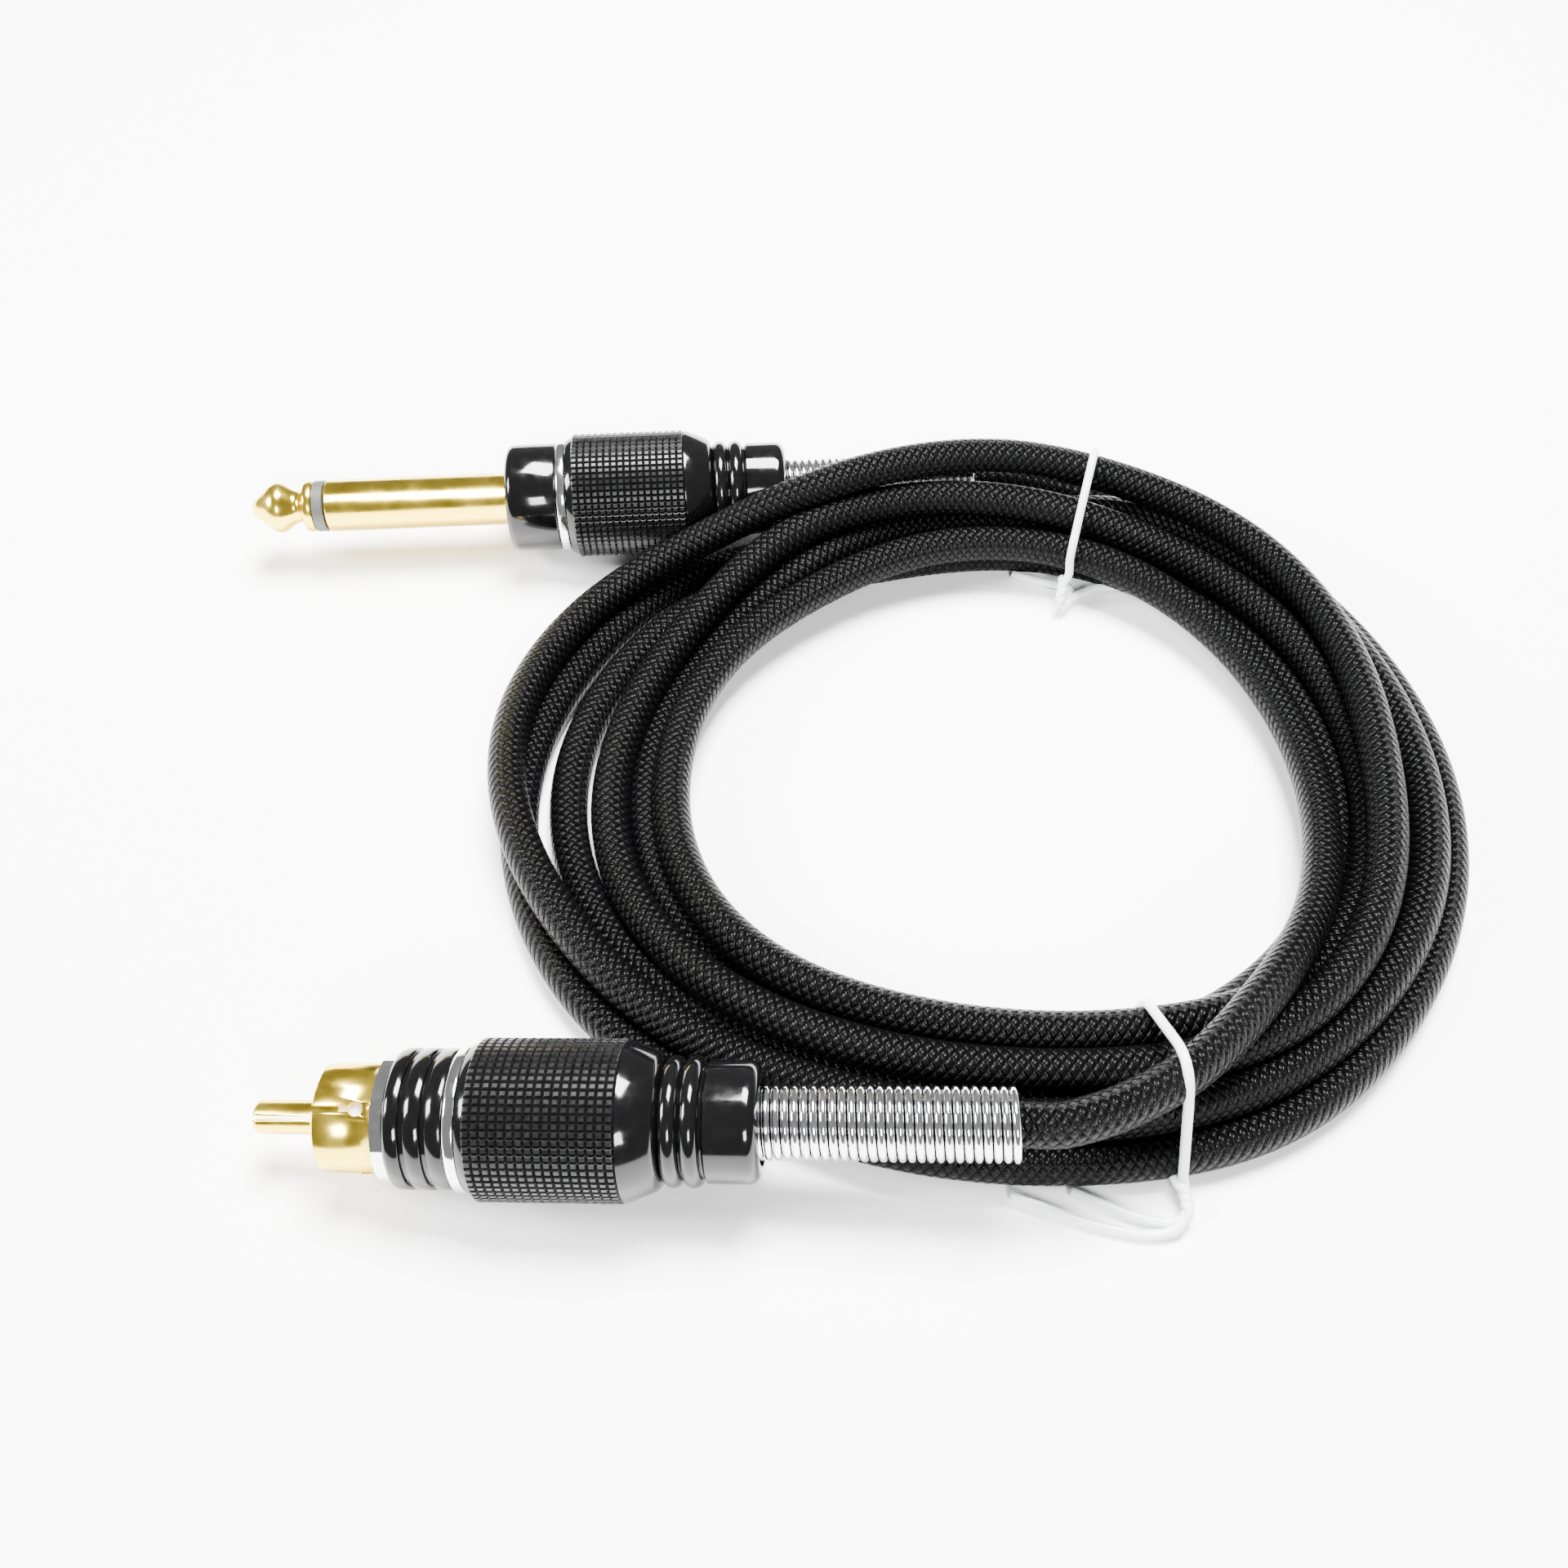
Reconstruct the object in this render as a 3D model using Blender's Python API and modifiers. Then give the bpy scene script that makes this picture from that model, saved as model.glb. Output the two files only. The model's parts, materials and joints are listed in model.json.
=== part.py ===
"""Instrument cable: a mono 6.35 mm jack plug and an RCA plug on one braided cord,
wound into a loose coil and held by two plastic-covered wire ties.

Each plug is built on its own axis: local +Z runs from the contact to the cord, and
z = 0 is the front face of the knurled barrel.  An empty places that axis in the world.
Units are metres, +Z is up and z = 0 is the surface that the cable lies on.
"""

import math

import bmesh
import bpy
from mathutils import Vector

MM = 0.001

# ---- fits ----
SLIP = 0.1 * MM              # between small turned pieces that touch
THREAD_CLEARANCE = 0.3 * MM  # barrel's thread over the body's nipple
CORD_GAP = 0.3 * MM          # between the lengths of cord

# ---- cord ----
CORD_DIAMETER = 4.2 * MM
CORE_WIRE_DIAMETER = 2.2 * MM
PIGTAIL_DIAMETER = 0.7 * MM
CORD_START = 13.5 * MM       # where the jacket is cut back inside a plug
CORD_STRAIGHT = 57.0 * MM    # it runs straight to here, past the unscrewed spring

# ---- barrel, the same on both plugs ----
KNURL_DIAMETER = 15.0 * MM
KNURL_LENGTH = 14.7 * MM
KNURL_FRONT_DIAMETER = 13.8 * MM
KNURL_CHAMFER = 1.3 * MM
CONE_LENGTH = 3.1 * MM
TAIL_DIAMETER = 11.2 * MM
TAIL_LENGTH = 5.2 * MM
TAIL_EDGE = 1.2 * MM
BEAD_DIAMETER = 12.0 * MM
BEAD_WIDTH = 1.9 * MM
BEAD_GROOVE_DIAMETER = 10.9 * MM
BEAD_COUNT = 2
BARREL_MID_BORE = 10.0 * MM
BARREL_REAR_BORE = 8.0 * MM
MID_BORE_END = 17.0 * MM
TAIL_LIP = 1.5 * MM
BARREL_STEPS = 32

# ---- threaded body ----
NIPPLE_DIAMETER = 11.2 * MM
NIPPLE_LENGTH = 5.8 * MM
BODY_FRONT_DIAMETER = 10.0 * MM
BODY_FRONT = -6.15 * MM
SPIGOT_DIAMETER = 6.8 * MM
SPIGOT_LENGTH = 1.4 * MM
TRIM_RING_DIAMETER = 13.5 * MM
TRIM_RING_WIDTH = 1.1 * MM

# ---- strain-relief spring ----
SPRING_DIAMETER = 7.0 * MM
SPRING_WIRE = 0.8 * MM
SPRING_PITCH = 0.86 * MM
SPRING_START = 23.0 * MM
SPRING_END = 50.3 * MM
POINTS_PER_TURN = 12

# ---- jack plug ----
JACK_LENGTH = 31.75 * MM
JACK_SLEEVE_DIAMETER = 6.35 * MM
JACK_COLLAR_FRONT = -7.45 * MM
COLLAR_DIAMETER = 13.0 * MM
JACK_COLLAR_EDGE = 1.0 * MM
JACK_INSULATOR_WIDTH = 1.3 * MM
JACK_TIP_LENGTH = 7.7 * MM
JACK_TIP_DIAMETER = 6.1 * MM
JACK_NECK_DIAMETER = 3.9 * MM
JACK_ROD_DIAMETER = 2.2 * MM
INSULATOR_TUBE_DIAMETER = 4.4 * MM

# ---- RCA plug ----
RCA_PIN_DIAMETER = 3.2 * MM
RCA_PIN_REACH = 7.1 * MM
RCA_PIN_SLOT = 0.4 * MM
RCA_SHELL_DIAMETER = 10.2 * MM
RCA_SHELL_WALL = 0.75 * MM
RCA_SHELL_LENGTH = 5.7 * MM
RCA_SLOT_WIDTH = 0.6 * MM
RCA_SLOT_HOLE = 1.4 * MM
RCA_SLOT_REACH = 4.15 * MM
RCA_SLOT_COUNT = 4
RCA_SLOT_ANGLE = math.radians(17.0)
RCA_PIN_SLOT_ANGLE = math.radians(31.0)
RCA_FLANGE_DIAMETER = 12.0 * MM
RCA_FLANGE_WIDTH = 1.1 * MM
RCA_COLLAR_FRONT = -6.85 * MM
RCA_COLLAR_EDGE = 0.4 * MM
RCA_GROOVES = (-5.1 * MM, -3.1 * MM)
RCA_GROOVE_WIDTH = 0.5 * MM
RCA_GROOVE_DEPTH = 0.35 * MM
RCA_INSULATOR_LENGTH = 2.6 * MM
RCA_SPIGOT_DIAMETER = 6.8 * MM

# ---- terminals inside the barrels ----
CONTACT_END = 8.6 * MM       # rear end of the jack's rod and of the RCA pin
LUG_THICKNESS = 0.6 * MM
LUG_WASHER_DIAMETER = 8.3 * MM
LUG_ARM_WIDTH = 2.6 * MM
CLAMP_LENGTH = 3.2 * MM
CLAMP_WALL = 0.5 * MM
INSULATING_SLEEVE_DIAMETER = 9.5 * MM
INSULATING_SLEEVE_WALL = 0.35 * MM
INSULATING_SLEEVE_END = 16.4 * MM

# ---- where the plugs lie ----
JACK_PLACE = (-5.6 * MM, 42.1 * MM)
JACK_TURN = math.radians(3.4)
RCA_PLACE = (-7.0 * MM, -42.6 * MM)
RCA_TURN = math.radians(-2.6)
RCA_RISE = math.radians(4.0)

# ---- coil ----
COIL_CENTRE = (42.0 * MM, 1.5 * MM)
COIL_INNER_RADIUS = 33.0 * MM
COIL_OUTER_RADIUS = 52.5 * MM
COIL_BOTTOM = 1.7 * MM
COIL_TOP = 12.5 * MM
COIL_EDGE = 3.2 * MM
COIL_STEPS = 48
POCKET_CLEARANCE = 0.9 * MM
LEAD_REACH = 5.0 * MM        # from the end of the straight stretch into the coil
UNSCREW_TRAVEL = 4.5 * MM

# ---- ties ----
TIE_DIAMETER = 1.2 * MM
TIE_CLEARANCE = 0.4 * MM
TIE_CORNER = 2.6 * MM
TWIST_RADIUS = 0.75 * MM
TWIST_LENGTH = 7.0 * MM
TWIST_TURNS = 2
BACK_TIE_ANGLE = math.radians(65.5)
FRONT_TIE_ANGLE = math.radians(-68.5)

STEPS = 24

# ---- values that follow ----
CORD_RADIUS = CORD_DIAMETER / 2
JACK_TIP_END = JACK_COLLAR_FRONT - JACK_LENGTH
POCKET_FRONT = JACK_TIP_END - POCKET_CLEARANCE
JACK_INSULATOR_FRONT = JACK_TIP_END + JACK_TIP_LENGTH + SLIP
JACK_SLEEVE_FRONT = JACK_INSULATOR_FRONT + JACK_INSULATOR_WIDTH + SLIP
CONTACT_BACK = BODY_FRONT - SLIP
RCA_FLANGE_FRONT = RCA_COLLAR_FRONT - SLIP - RCA_FLANGE_WIDTH
RCA_SHELL_BACK = RCA_FLANGE_FRONT - SLIP
RCA_SHELL_FRONT = RCA_SHELL_BACK - RCA_SHELL_LENGTH
RCA_PIN_END = RCA_SHELL_FRONT - RCA_PIN_REACH
TRIM_RING_BACK = -SLIP
TRIM_RING_FRONT = TRIM_RING_BACK - TRIM_RING_WIDTH
COLLAR_BACK = TRIM_RING_FRONT - SLIP
CONE_START = KNURL_LENGTH
CONE_END = CONE_START + CONE_LENGTH
BEADS_END = CONE_END + BEAD_COUNT * BEAD_WIDTH
TAIL_END = BEADS_END + TAIL_LENGTH
LUG_BACK = NIPPLE_LENGTH + SLIP + LUG_THICKNESS
COIL_MIDDLE = (COIL_INNER_RADIUS + COIL_OUTER_RADIUS) / 2


# ---- materials ----
def material(name, colour, roughness, metallic):
    """Make or fetch a plain Principled material."""
    existing = bpy.data.materials.get(name)
    if existing:
        return existing
    made = bpy.data.materials.new(name)
    made.use_nodes = True
    made.diffuse_color = (*colour, 1.0)
    shader = made.node_tree.nodes["Principled BSDF"]
    shader.inputs["Base Color"].default_value = (*colour, 1.0)
    shader.inputs["Roughness"].default_value = roughness
    shader.inputs["Metallic"].default_value = metallic
    return made


def gold():
    return material("gold_plate", (0.83, 0.60, 0.22), 0.22, 1.0)


def nickel():
    return material("nickel_plate", (0.72, 0.72, 0.70), 0.28, 1.0)


def chrome():
    return material("chrome", (0.86, 0.86, 0.87), 0.08, 1.0)


def gloss_black():
    return material("gloss_black", (0.012, 0.012, 0.013), 0.12, 0.0)


def matte_black():
    return material("knurled_black", (0.016, 0.016, 0.017), 0.42, 0.0)


def braid():
    return material("braided_jacket", (0.014, 0.014, 0.015), 0.5, 0.0)


def white_plastic():
    return material("white_insulator", (0.85, 0.85, 0.83), 0.35, 0.0)


def grey_plastic():
    return material("grey_insulator", (0.10, 0.10, 0.10), 0.35, 0.0)


def clear_plastic():
    return material("clear_sleeve", (0.78, 0.80, 0.80), 0.2, 0.0)


def copper():
    return material("bare_copper", (0.75, 0.38, 0.22), 0.35, 1.0)


# ---- scene set-up and shared helpers ----
def clear_scene():
    for item in list(bpy.data.objects):
        bpy.data.objects.remove(item, do_unlink=True)


def new_collection(name):
    made = bpy.data.collections.new(name)
    bpy.context.scene.collection.children.link(made)
    return made


def add_object(name, data, collection, surface, parent=None):
    """Link an object for one sub-part and give it its material."""
    item = bpy.data.objects.new(name, data)
    collection.objects.link(item)
    if surface:
        data.materials.append(surface)
    item.parent = parent
    return item


def turned(name, profile, surface, parent, closed, steps=STEPS):
    """Turn a profile of (radius, z) points, top to bottom down its outer side."""
    count = len(profile)
    edges = [(i, i + 1) for i in range(count - 1)]
    if closed:
        edges.append((count - 1, 0))
    data = bpy.data.meshes.new(name)
    data.from_pydata([(radius, 0.0, z) for radius, z in profile], edges, [])
    item = add_object(name, data, PARTS, surface, parent)
    screw = item.modifiers.new("Turn", "SCREW")
    screw.axis = "Z"
    screw.angle = 2 * math.pi
    screw.steps = steps
    screw.render_steps = steps
    screw.use_merge_vertices = True
    screw.merge_threshold = 0.00001
    return item


def tube(name, outer_diameter, bore_diameter, front, back, surface, parent, steps=STEPS):
    """A plain turned tube between two stations on the plug's axis."""
    outer = outer_diameter / 2
    bore = bore_diameter / 2
    profile = [(outer, back), (outer, front), (bore, front), (bore, back)]
    return turned(name, profile, surface, parent, closed=True, steps=steps)


def arc(centre, radius, start, end, count):
    """Points on an arc in the (radius, z) plane, angles in degrees from +radius."""
    points = []
    for i in range(count + 1):
        angle = math.radians(start + (end - start) * i / count)
        points.append((centre[0] + radius * math.cos(angle), centre[1] + radius * math.sin(angle)))
    return points


def wire(name, points, diameter, surface, parent=None, sides_step=2, collection=None):
    """A round wire along a poly line, closed at both ends."""
    curve = bpy.data.curves.new(name, "CURVE")
    curve.dimensions = "3D"
    curve.bevel_depth = diameter / 2
    curve.bevel_resolution = sides_step
    curve.use_fill_caps = True
    spline = curve.splines.new("POLY")
    spline.points.add(len(points) - 1)
    for knot, point in zip(spline.points, points):
        knot.co = (*point, 1.0)
    return add_object(name, curve, collection or PARTS, surface, parent)


def cutter_box(name, size, centre, turn, parent):
    """A box in the plug's frame, turned about its axis, used only to cut."""
    data = bpy.data.meshes.new(name)
    shape = bmesh.new()
    bmesh.ops.create_cube(shape, size=1.0)
    bmesh.ops.scale(shape, vec=size, verts=shape.verts)
    bmesh.ops.translate(shape, vec=centre, verts=shape.verts)
    shape.to_mesh(data)
    shape.free()
    return hide_cutter(name, data, turn, parent)


def cutter_rod(name, diameter, length, centre, turn, parent):
    """A round rod along local X, turned about the plug's axis, used only to cut."""
    data = bpy.data.meshes.new(name)
    shape = bmesh.new()
    bmesh.ops.create_cone(shape, cap_ends=True, segments=16, radius1=diameter / 2,
                          radius2=diameter / 2, depth=length)
    for vert in shape.verts:
        vert.co = Vector((vert.co.z, vert.co.y, vert.co.x)) + Vector(centre)
    bmesh.ops.reverse_faces(shape, faces=shape.faces)
    shape.to_mesh(data)
    shape.free()
    return hide_cutter(name, data, turn, parent)


def hide_cutter(name, data, turn, parent):
    item = add_object(name, data, CUTTERS, None, parent)
    item.rotation_euler = (0.0, 0.0, turn)
    item.hide_render = True
    item.display_type = "WIRE"
    return item


def cut(item, tool):
    """Subtract one hidden cutter from a sub-part."""
    boolean = item.modifiers.new("Cut " + tool.name, "BOOLEAN")
    boolean.operation = "DIFFERENCE"
    boolean.solver = "EXACT"
    boolean.object = tool


def plug_axis(name, place, turn, rise, height):
    """The empty that carries a plug: its local +Z runs from the contact to the cord."""
    empty = bpy.data.objects.new(name, None)
    PARTS.objects.link(empty)
    empty.location = (place[0], place[1], height)
    empty.rotation_euler = (0.0, math.pi / 2 - rise, turn)
    return empty


def axis_direction(turn, rise):
    return Vector((math.cos(rise) * math.cos(turn), math.cos(rise) * math.sin(turn), math.sin(rise)))


# ---- barrel and spring, which move together ----
def barrel(name, parent):
    """Knurled grip, cone, two beads and a round-edged tail, bored for the core and the spring."""
    knurl = KNURL_DIAMETER / 2
    tail = TAIL_DIAMETER / 2
    rear_chamfer = 0.5 * MM
    profile = arc((tail - TAIL_EDGE, TAIL_END - TAIL_EDGE), TAIL_EDGE, 90, 0, 3)
    profile.append((tail, BEADS_END + 0.2 * MM))
    for i in reversed(range(BEAD_COUNT)):
        start = CONE_END + i * BEAD_WIDTH
        profile.append((BEAD_GROOVE_DIAMETER / 2, start + BEAD_WIDTH))
        profile.append((BEAD_DIAMETER / 2 - 0.1 * MM, start + 0.72 * BEAD_WIDTH))
        profile.append((BEAD_DIAMETER / 2 - 0.1 * MM, start + 0.28 * BEAD_WIDTH))
    profile.append((BEAD_GROOVE_DIAMETER / 2, CONE_END))
    profile.append((tail, CONE_END - 0.2 * MM))
    profile.append((knurl - rear_chamfer, CONE_START))
    profile.append((knurl, CONE_START - rear_chamfer))
    profile.append((knurl, KNURL_CHAMFER))
    profile.append((KNURL_FRONT_DIAMETER / 2, 0.0))
    thread_bore = NIPPLE_DIAMETER / 2 + THREAD_CLEARANCE
    profile.append((thread_bore, 0.0))
    profile.append((thread_bore, NIPPLE_LENGTH + 1.0 * MM))
    profile.append((BARREL_MID_BORE / 2, NIPPLE_LENGTH + 1.0 * MM))
    profile.append((BARREL_MID_BORE / 2, MID_BORE_END))
    profile.append((BARREL_REAR_BORE / 2, MID_BORE_END))
    profile.append((BARREL_REAR_BORE / 2, TAIL_END - TAIL_LIP))
    profile.append((SPRING_DIAMETER / 2 + SLIP, TAIL_END - TAIL_LIP))
    profile.append((SPRING_DIAMETER / 2 + SLIP, TAIL_END))
    return turned(name, profile, matte_black(), parent, closed=True, steps=BARREL_STEPS)


def spring(name, parent):
    """The close-wound strain relief that stands out of the barrel's tail."""
    radius = (SPRING_DIAMETER - SPRING_WIRE) / 2
    first = SPRING_START + SPRING_WIRE / 2
    last = SPRING_END - SPRING_WIRE / 2
    count = round((last - first) / SPRING_PITCH * POINTS_PER_TURN)
    points = []
    for i in range(count + 1):
        angle = 2 * math.pi * i / POINTS_PER_TURN
        z = first + (last - first) * i / count
        points.append((radius * math.cos(angle), radius * math.sin(angle), z))
    return wire(name, points, SPRING_WIRE, chrome(), parent, sides_step=0)


# ---- core pieces that both plugs share ----
def body(name, bore_diameter, parent):
    """The threaded metal body: front seat for the collar, nipple for the barrel, rear spigot."""
    front = BODY_FRONT_DIAMETER / 2
    nipple = NIPPLE_DIAMETER / 2
    spigot = SPIGOT_DIAMETER / 2
    end = NIPPLE_LENGTH + SPIGOT_LENGTH
    profile = [(spigot, end), (spigot, NIPPLE_LENGTH), (nipple, NIPPLE_LENGTH), (nipple, 0.0),
               (front, 0.0), (front, BODY_FRONT), (bore_diameter / 2, BODY_FRONT),
               (bore_diameter / 2, end)]
    return turned(name, profile, nickel(), parent, closed=True)


def trim_ring(name, parent):
    """The bright band between the collar and the barrel."""
    bore = BODY_FRONT_DIAMETER + 2 * SLIP
    return tube(name, TRIM_RING_DIAMETER, bore, TRIM_RING_FRONT, TRIM_RING_BACK, chrome(), parent,
                steps=BARREL_STEPS)


def insulating_sleeve(name, parent):
    """The thin plastic tube between the terminals and the barrel."""
    bore = INSULATING_SLEEVE_DIAMETER - 2 * INSULATING_SLEEVE_WALL
    return tube(name, INSULATING_SLEEVE_DIAMETER, bore, NIPPLE_LENGTH + 2 * SLIP,
                INSULATING_SLEEVE_END, clear_plastic(), parent)


def ground_clamp(name, parent):
    """Lug washer on the body's spigot, an arm, and the crimp that grips the cord."""
    data = bpy.data.meshes.new(name)
    washer_bore = SPIGOT_DIAMETER / 2 + SLIP
    washer = LUG_WASHER_DIAMETER / 2
    front = NIPPLE_LENGTH + SLIP
    clamp_front = CORD_START + 0.6 * MM
    clamp_bore = CORD_RADIUS + SLIP
    clamp = clamp_bore + CLAMP_WALL
    shape = bmesh.new()
    add_ring(shape, washer, washer_bore, front, LUG_BACK)
    add_ring(shape, clamp, clamp_bore, clamp_front, clamp_front + CLAMP_LENGTH)
    shape.to_mesh(data)
    shape.free()
    item = add_object(name, data, PARTS, nickel(), parent)
    arm = strip(name + "_arm", LUG_ARM_WIDTH, bent_arm_outline(washer_bore, clamp, front, clamp_front))
    joined = hide_cutter(name + "_arm", arm, 0.0, parent)
    union = item.modifiers.new("Arm", "BOOLEAN")
    union.operation = "UNION"
    union.solver = "EXACT"
    union.object = joined
    bore = cutter_rod_along_axis(name + "_bore", 2 * clamp_bore, clamp_front - MM,
                                 clamp_front + CLAMP_LENGTH + MM, parent)
    cut(item, bore)
    return item


def bent_arm_outline(washer_bore, clamp, front, clamp_front):
    """Side view of the lug's arm, (radius, z): along the washer's level, then down to the crimp."""
    high = washer_bore
    low = clamp - 0.3 * MM
    thick = LUG_THICKNESS
    start = front + LUG_THICKNESS / 2
    bend = clamp_front - 1.6 * MM
    end = clamp_front + CLAMP_LENGTH / 2
    return [(high, start), (high + thick, start), (high + thick, bend), (low + thick, clamp_front),
            (low + thick, end), (low, end), (low, clamp_front - 0.2 * MM), (high, bend - 0.2 * MM)]


def strip(name, width, outline):
    """A flat strip: its side view in the (y, z) plane, pushed out to its width along X."""
    data = bpy.data.meshes.new(name)
    shape = bmesh.new()
    verts = [shape.verts.new((-width / 2, y, z)) for y, z in outline]
    face = shape.faces.new(verts)
    pushed = bmesh.ops.extrude_face_region(shape, geom=[face])
    moved = [item for item in pushed["geom"] if isinstance(item, bmesh.types.BMVert)]
    bmesh.ops.translate(shape, vec=(width, 0.0, 0.0), verts=moved)
    bmesh.ops.recalc_face_normals(shape, faces=shape.faces)
    shape.to_mesh(data)
    shape.free()
    return data


def add_ring(shape, outer, bore, front, back):
    """Add one closed ring about the axis to a mesh."""
    corners = [(outer, back), (outer, front), (bore, front), (bore, back)]
    verts = [shape.verts.new((radius, 0.0, z)) for radius, z in corners]
    edges = [shape.edges.new((verts[i], verts[(i + 1) % 4])) for i in range(4)]
    bmesh.ops.spin(shape, geom=verts + edges, cent=(0, 0, 0), axis=(0, 0, 1),
                   angle=2 * math.pi, steps=STEPS, use_merge=True)
    bmesh.ops.recalc_face_normals(shape, faces=shape.faces)


def cutter_rod_along_axis(name, diameter, front, back, parent):
    data = bpy.data.meshes.new(name)
    shape = bmesh.new()
    bmesh.ops.create_cone(shape, cap_ends=True, segments=STEPS, radius1=diameter / 2,
                          radius2=diameter / 2, depth=back - front)
    bmesh.ops.translate(shape, vec=(0.0, 0.0, (front + back) / 2), verts=shape.verts)
    shape.to_mesh(data)
    shape.free()
    return hide_cutter(name, data, 0.0, parent)


def core_wire(name, parent):
    """The insulated centre conductor, from the jacket to the centre contact."""
    length_start = CONTACT_END + CORD_GAP
    length_end = CORD_START - CORD_GAP
    points = [(0.0, 0.0, length_start), (0.0, 0.0, length_end)]
    return wire(name, points, CORE_WIRE_DIAMETER, white_plastic(), parent)


def shield_pigtail(name, parent):
    """The gathered shield strands, from the jacket to the lug's arm."""
    start = Vector((0.0, 1.75 * MM, CORD_START - CORD_GAP))
    end = Vector((0.0, 2.9 * MM, 9.6 * MM))
    middle = Vector((0.0, 2.0 * MM, 11.6 * MM))
    return wire(name, [start, middle, end], PIGTAIL_DIAMETER, copper(), parent)


# ---- jack plug ----
def jack_tip(parent):
    """Gold tip: ball, neck, shoulder, and the rod that runs back through the plug."""
    ball = JACK_TIP_DIAMETER / 2
    neck = JACK_NECK_DIAMETER / 2
    rod = JACK_ROD_DIAMETER / 2
    shoulder_end = JACK_TIP_END + JACK_TIP_LENGTH
    at = JACK_TIP_END
    profile = [(0.0, CONTACT_END), (rod, CONTACT_END), (rod, shoulder_end), (ball, shoulder_end),
               (ball, shoulder_end - 0.7 * MM), (neck, at + 5.6 * MM), (neck, at + 5.1 * MM),
               (ball - 0.15 * MM, at + 3.9 * MM), (ball, at + 3.3 * MM), (ball - 0.3 * MM, at + 2.5 * MM),
               (1.5 * MM, at + 0.6 * MM), (1.0 * MM, at + 0.1 * MM), (0.0, at)]
    return turned("ts_tip", profile, gold(), parent, closed=False)


def jack_tip_insulator(parent):
    """The dark ring behind the tip, with the tube that keeps the rod off the sleeve."""
    ring = JACK_SLEEVE_DIAMETER / 2 - 0.05 * MM
    neck = INSULATOR_TUBE_DIAMETER / 2
    bore = JACK_ROD_DIAMETER / 2 + SLIP
    front = JACK_INSULATOR_FRONT
    back = NIPPLE_LENGTH + SPIGOT_LENGTH + SLIP
    ring_back = front + JACK_INSULATOR_WIDTH
    profile = [(neck, back), (neck, ring_back), (ring, ring_back), (ring, front), (bore, front),
               (bore, back)]
    return turned("ts_tip_insulator", profile, grey_plastic(), parent, closed=True)


def jack_sleeve(parent):
    """The gold sleeve contact, chamfered at the front."""
    outer = JACK_SLEEVE_DIAMETER / 2
    bore = INSULATOR_TUBE_DIAMETER / 2 + SLIP
    chamfer = 0.25 * MM
    profile = [(outer, CONTACT_BACK), (outer, JACK_SLEEVE_FRONT + chamfer),
               (outer - chamfer, JACK_SLEEVE_FRONT), (bore, JACK_SLEEVE_FRONT), (bore, CONTACT_BACK)]
    return turned("ts_sleeve", profile, gold(), parent, closed=True)


def collar(name, front, edge, hole_diameter, grooves, parent):
    """The black front collar: a round-edged tube with a lip, and any grooves round it."""
    outer = COLLAR_DIAMETER / 2
    bore = BODY_FRONT_DIAMETER / 2 + SLIP
    lip_back = BODY_FRONT - SLIP
    hole = hole_diameter / 2 + SLIP
    profile = [(outer, COLLAR_BACK)]
    for middle in reversed(grooves):
        half = RCA_GROOVE_WIDTH / 2
        profile.append((outer, middle + half))
        profile.append((outer - RCA_GROOVE_DEPTH, middle + half * 0.6))
        profile.append((outer - RCA_GROOVE_DEPTH, middle - half * 0.6))
        profile.append((outer, middle - half))
    profile += arc((outer - edge, front + edge), edge, 0, -90, 3)
    profile += [(hole, front), (hole, lip_back), (bore, lip_back), (bore, COLLAR_BACK)]
    return turned(name, profile, gloss_black(), parent, closed=True, steps=BARREL_STEPS)


def jack_tip_terminal(parent):
    """The lug riveted to the end of the rod, with its solder tongue."""
    front = NIPPLE_LENGTH + SPIGOT_LENGTH + 2 * SLIP
    back = front + LUG_THICKNESS
    washer = INSULATOR_TUBE_DIAMETER / 2
    bore = JACK_ROD_DIAMETER / 2 + SLIP
    item = tube("ts_tip_terminal", 2 * washer, 2 * bore, front, back, nickel(), parent)
    data = bpy.data.meshes.new("ts_tip_tongue")
    shape = bmesh.new()
    bmesh.ops.create_cube(shape, size=1.0)
    tongue_front = front + LUG_THICKNESS / 4
    tongue_back = CORD_START - 2.0 * MM
    bmesh.ops.scale(shape, vec=(LUG_THICKNESS, 1.8 * MM, tongue_back - tongue_front), verts=shape.verts)
    middle = (bore + 0.1 * MM + LUG_THICKNESS / 2, 0.0, (tongue_front + tongue_back) / 2)
    bmesh.ops.translate(shape, vec=middle, verts=shape.verts)
    shape.to_mesh(data)
    shape.free()
    tongue = hide_cutter("ts_tip_tongue", data, 0.0, parent)
    union = item.modifiers.new("Tongue", "BOOLEAN")
    union.operation = "UNION"
    union.solver = "EXACT"
    union.object = tongue
    return item


def jack_plug():
    """Every sub-part of the 6.35 mm mono plug."""
    axis = plug_axis("ts_plug_axis", JACK_PLACE, JACK_TURN, 0.0, KNURL_DIAMETER / 2)
    jack_tip(axis)
    jack_tip_insulator(axis)
    jack_sleeve(axis)
    collar("ts_collar", JACK_COLLAR_FRONT, JACK_COLLAR_EDGE, JACK_SLEEVE_DIAMETER, (), axis)
    body("ts_body", INSULATOR_TUBE_DIAMETER + 2 * SLIP, axis)
    trim_ring("ts_trim_ring", axis)
    jack_tip_terminal(axis)
    ground_clamp("ts_ground_clamp", axis)
    insulating_sleeve("ts_insulating_sleeve", axis)
    core_wire("ts_core_wire", axis)
    shield_pigtail("ts_shield_pigtail", axis)
    barrel("ts_barrel", axis)
    spring("ts_spring", axis)


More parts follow.
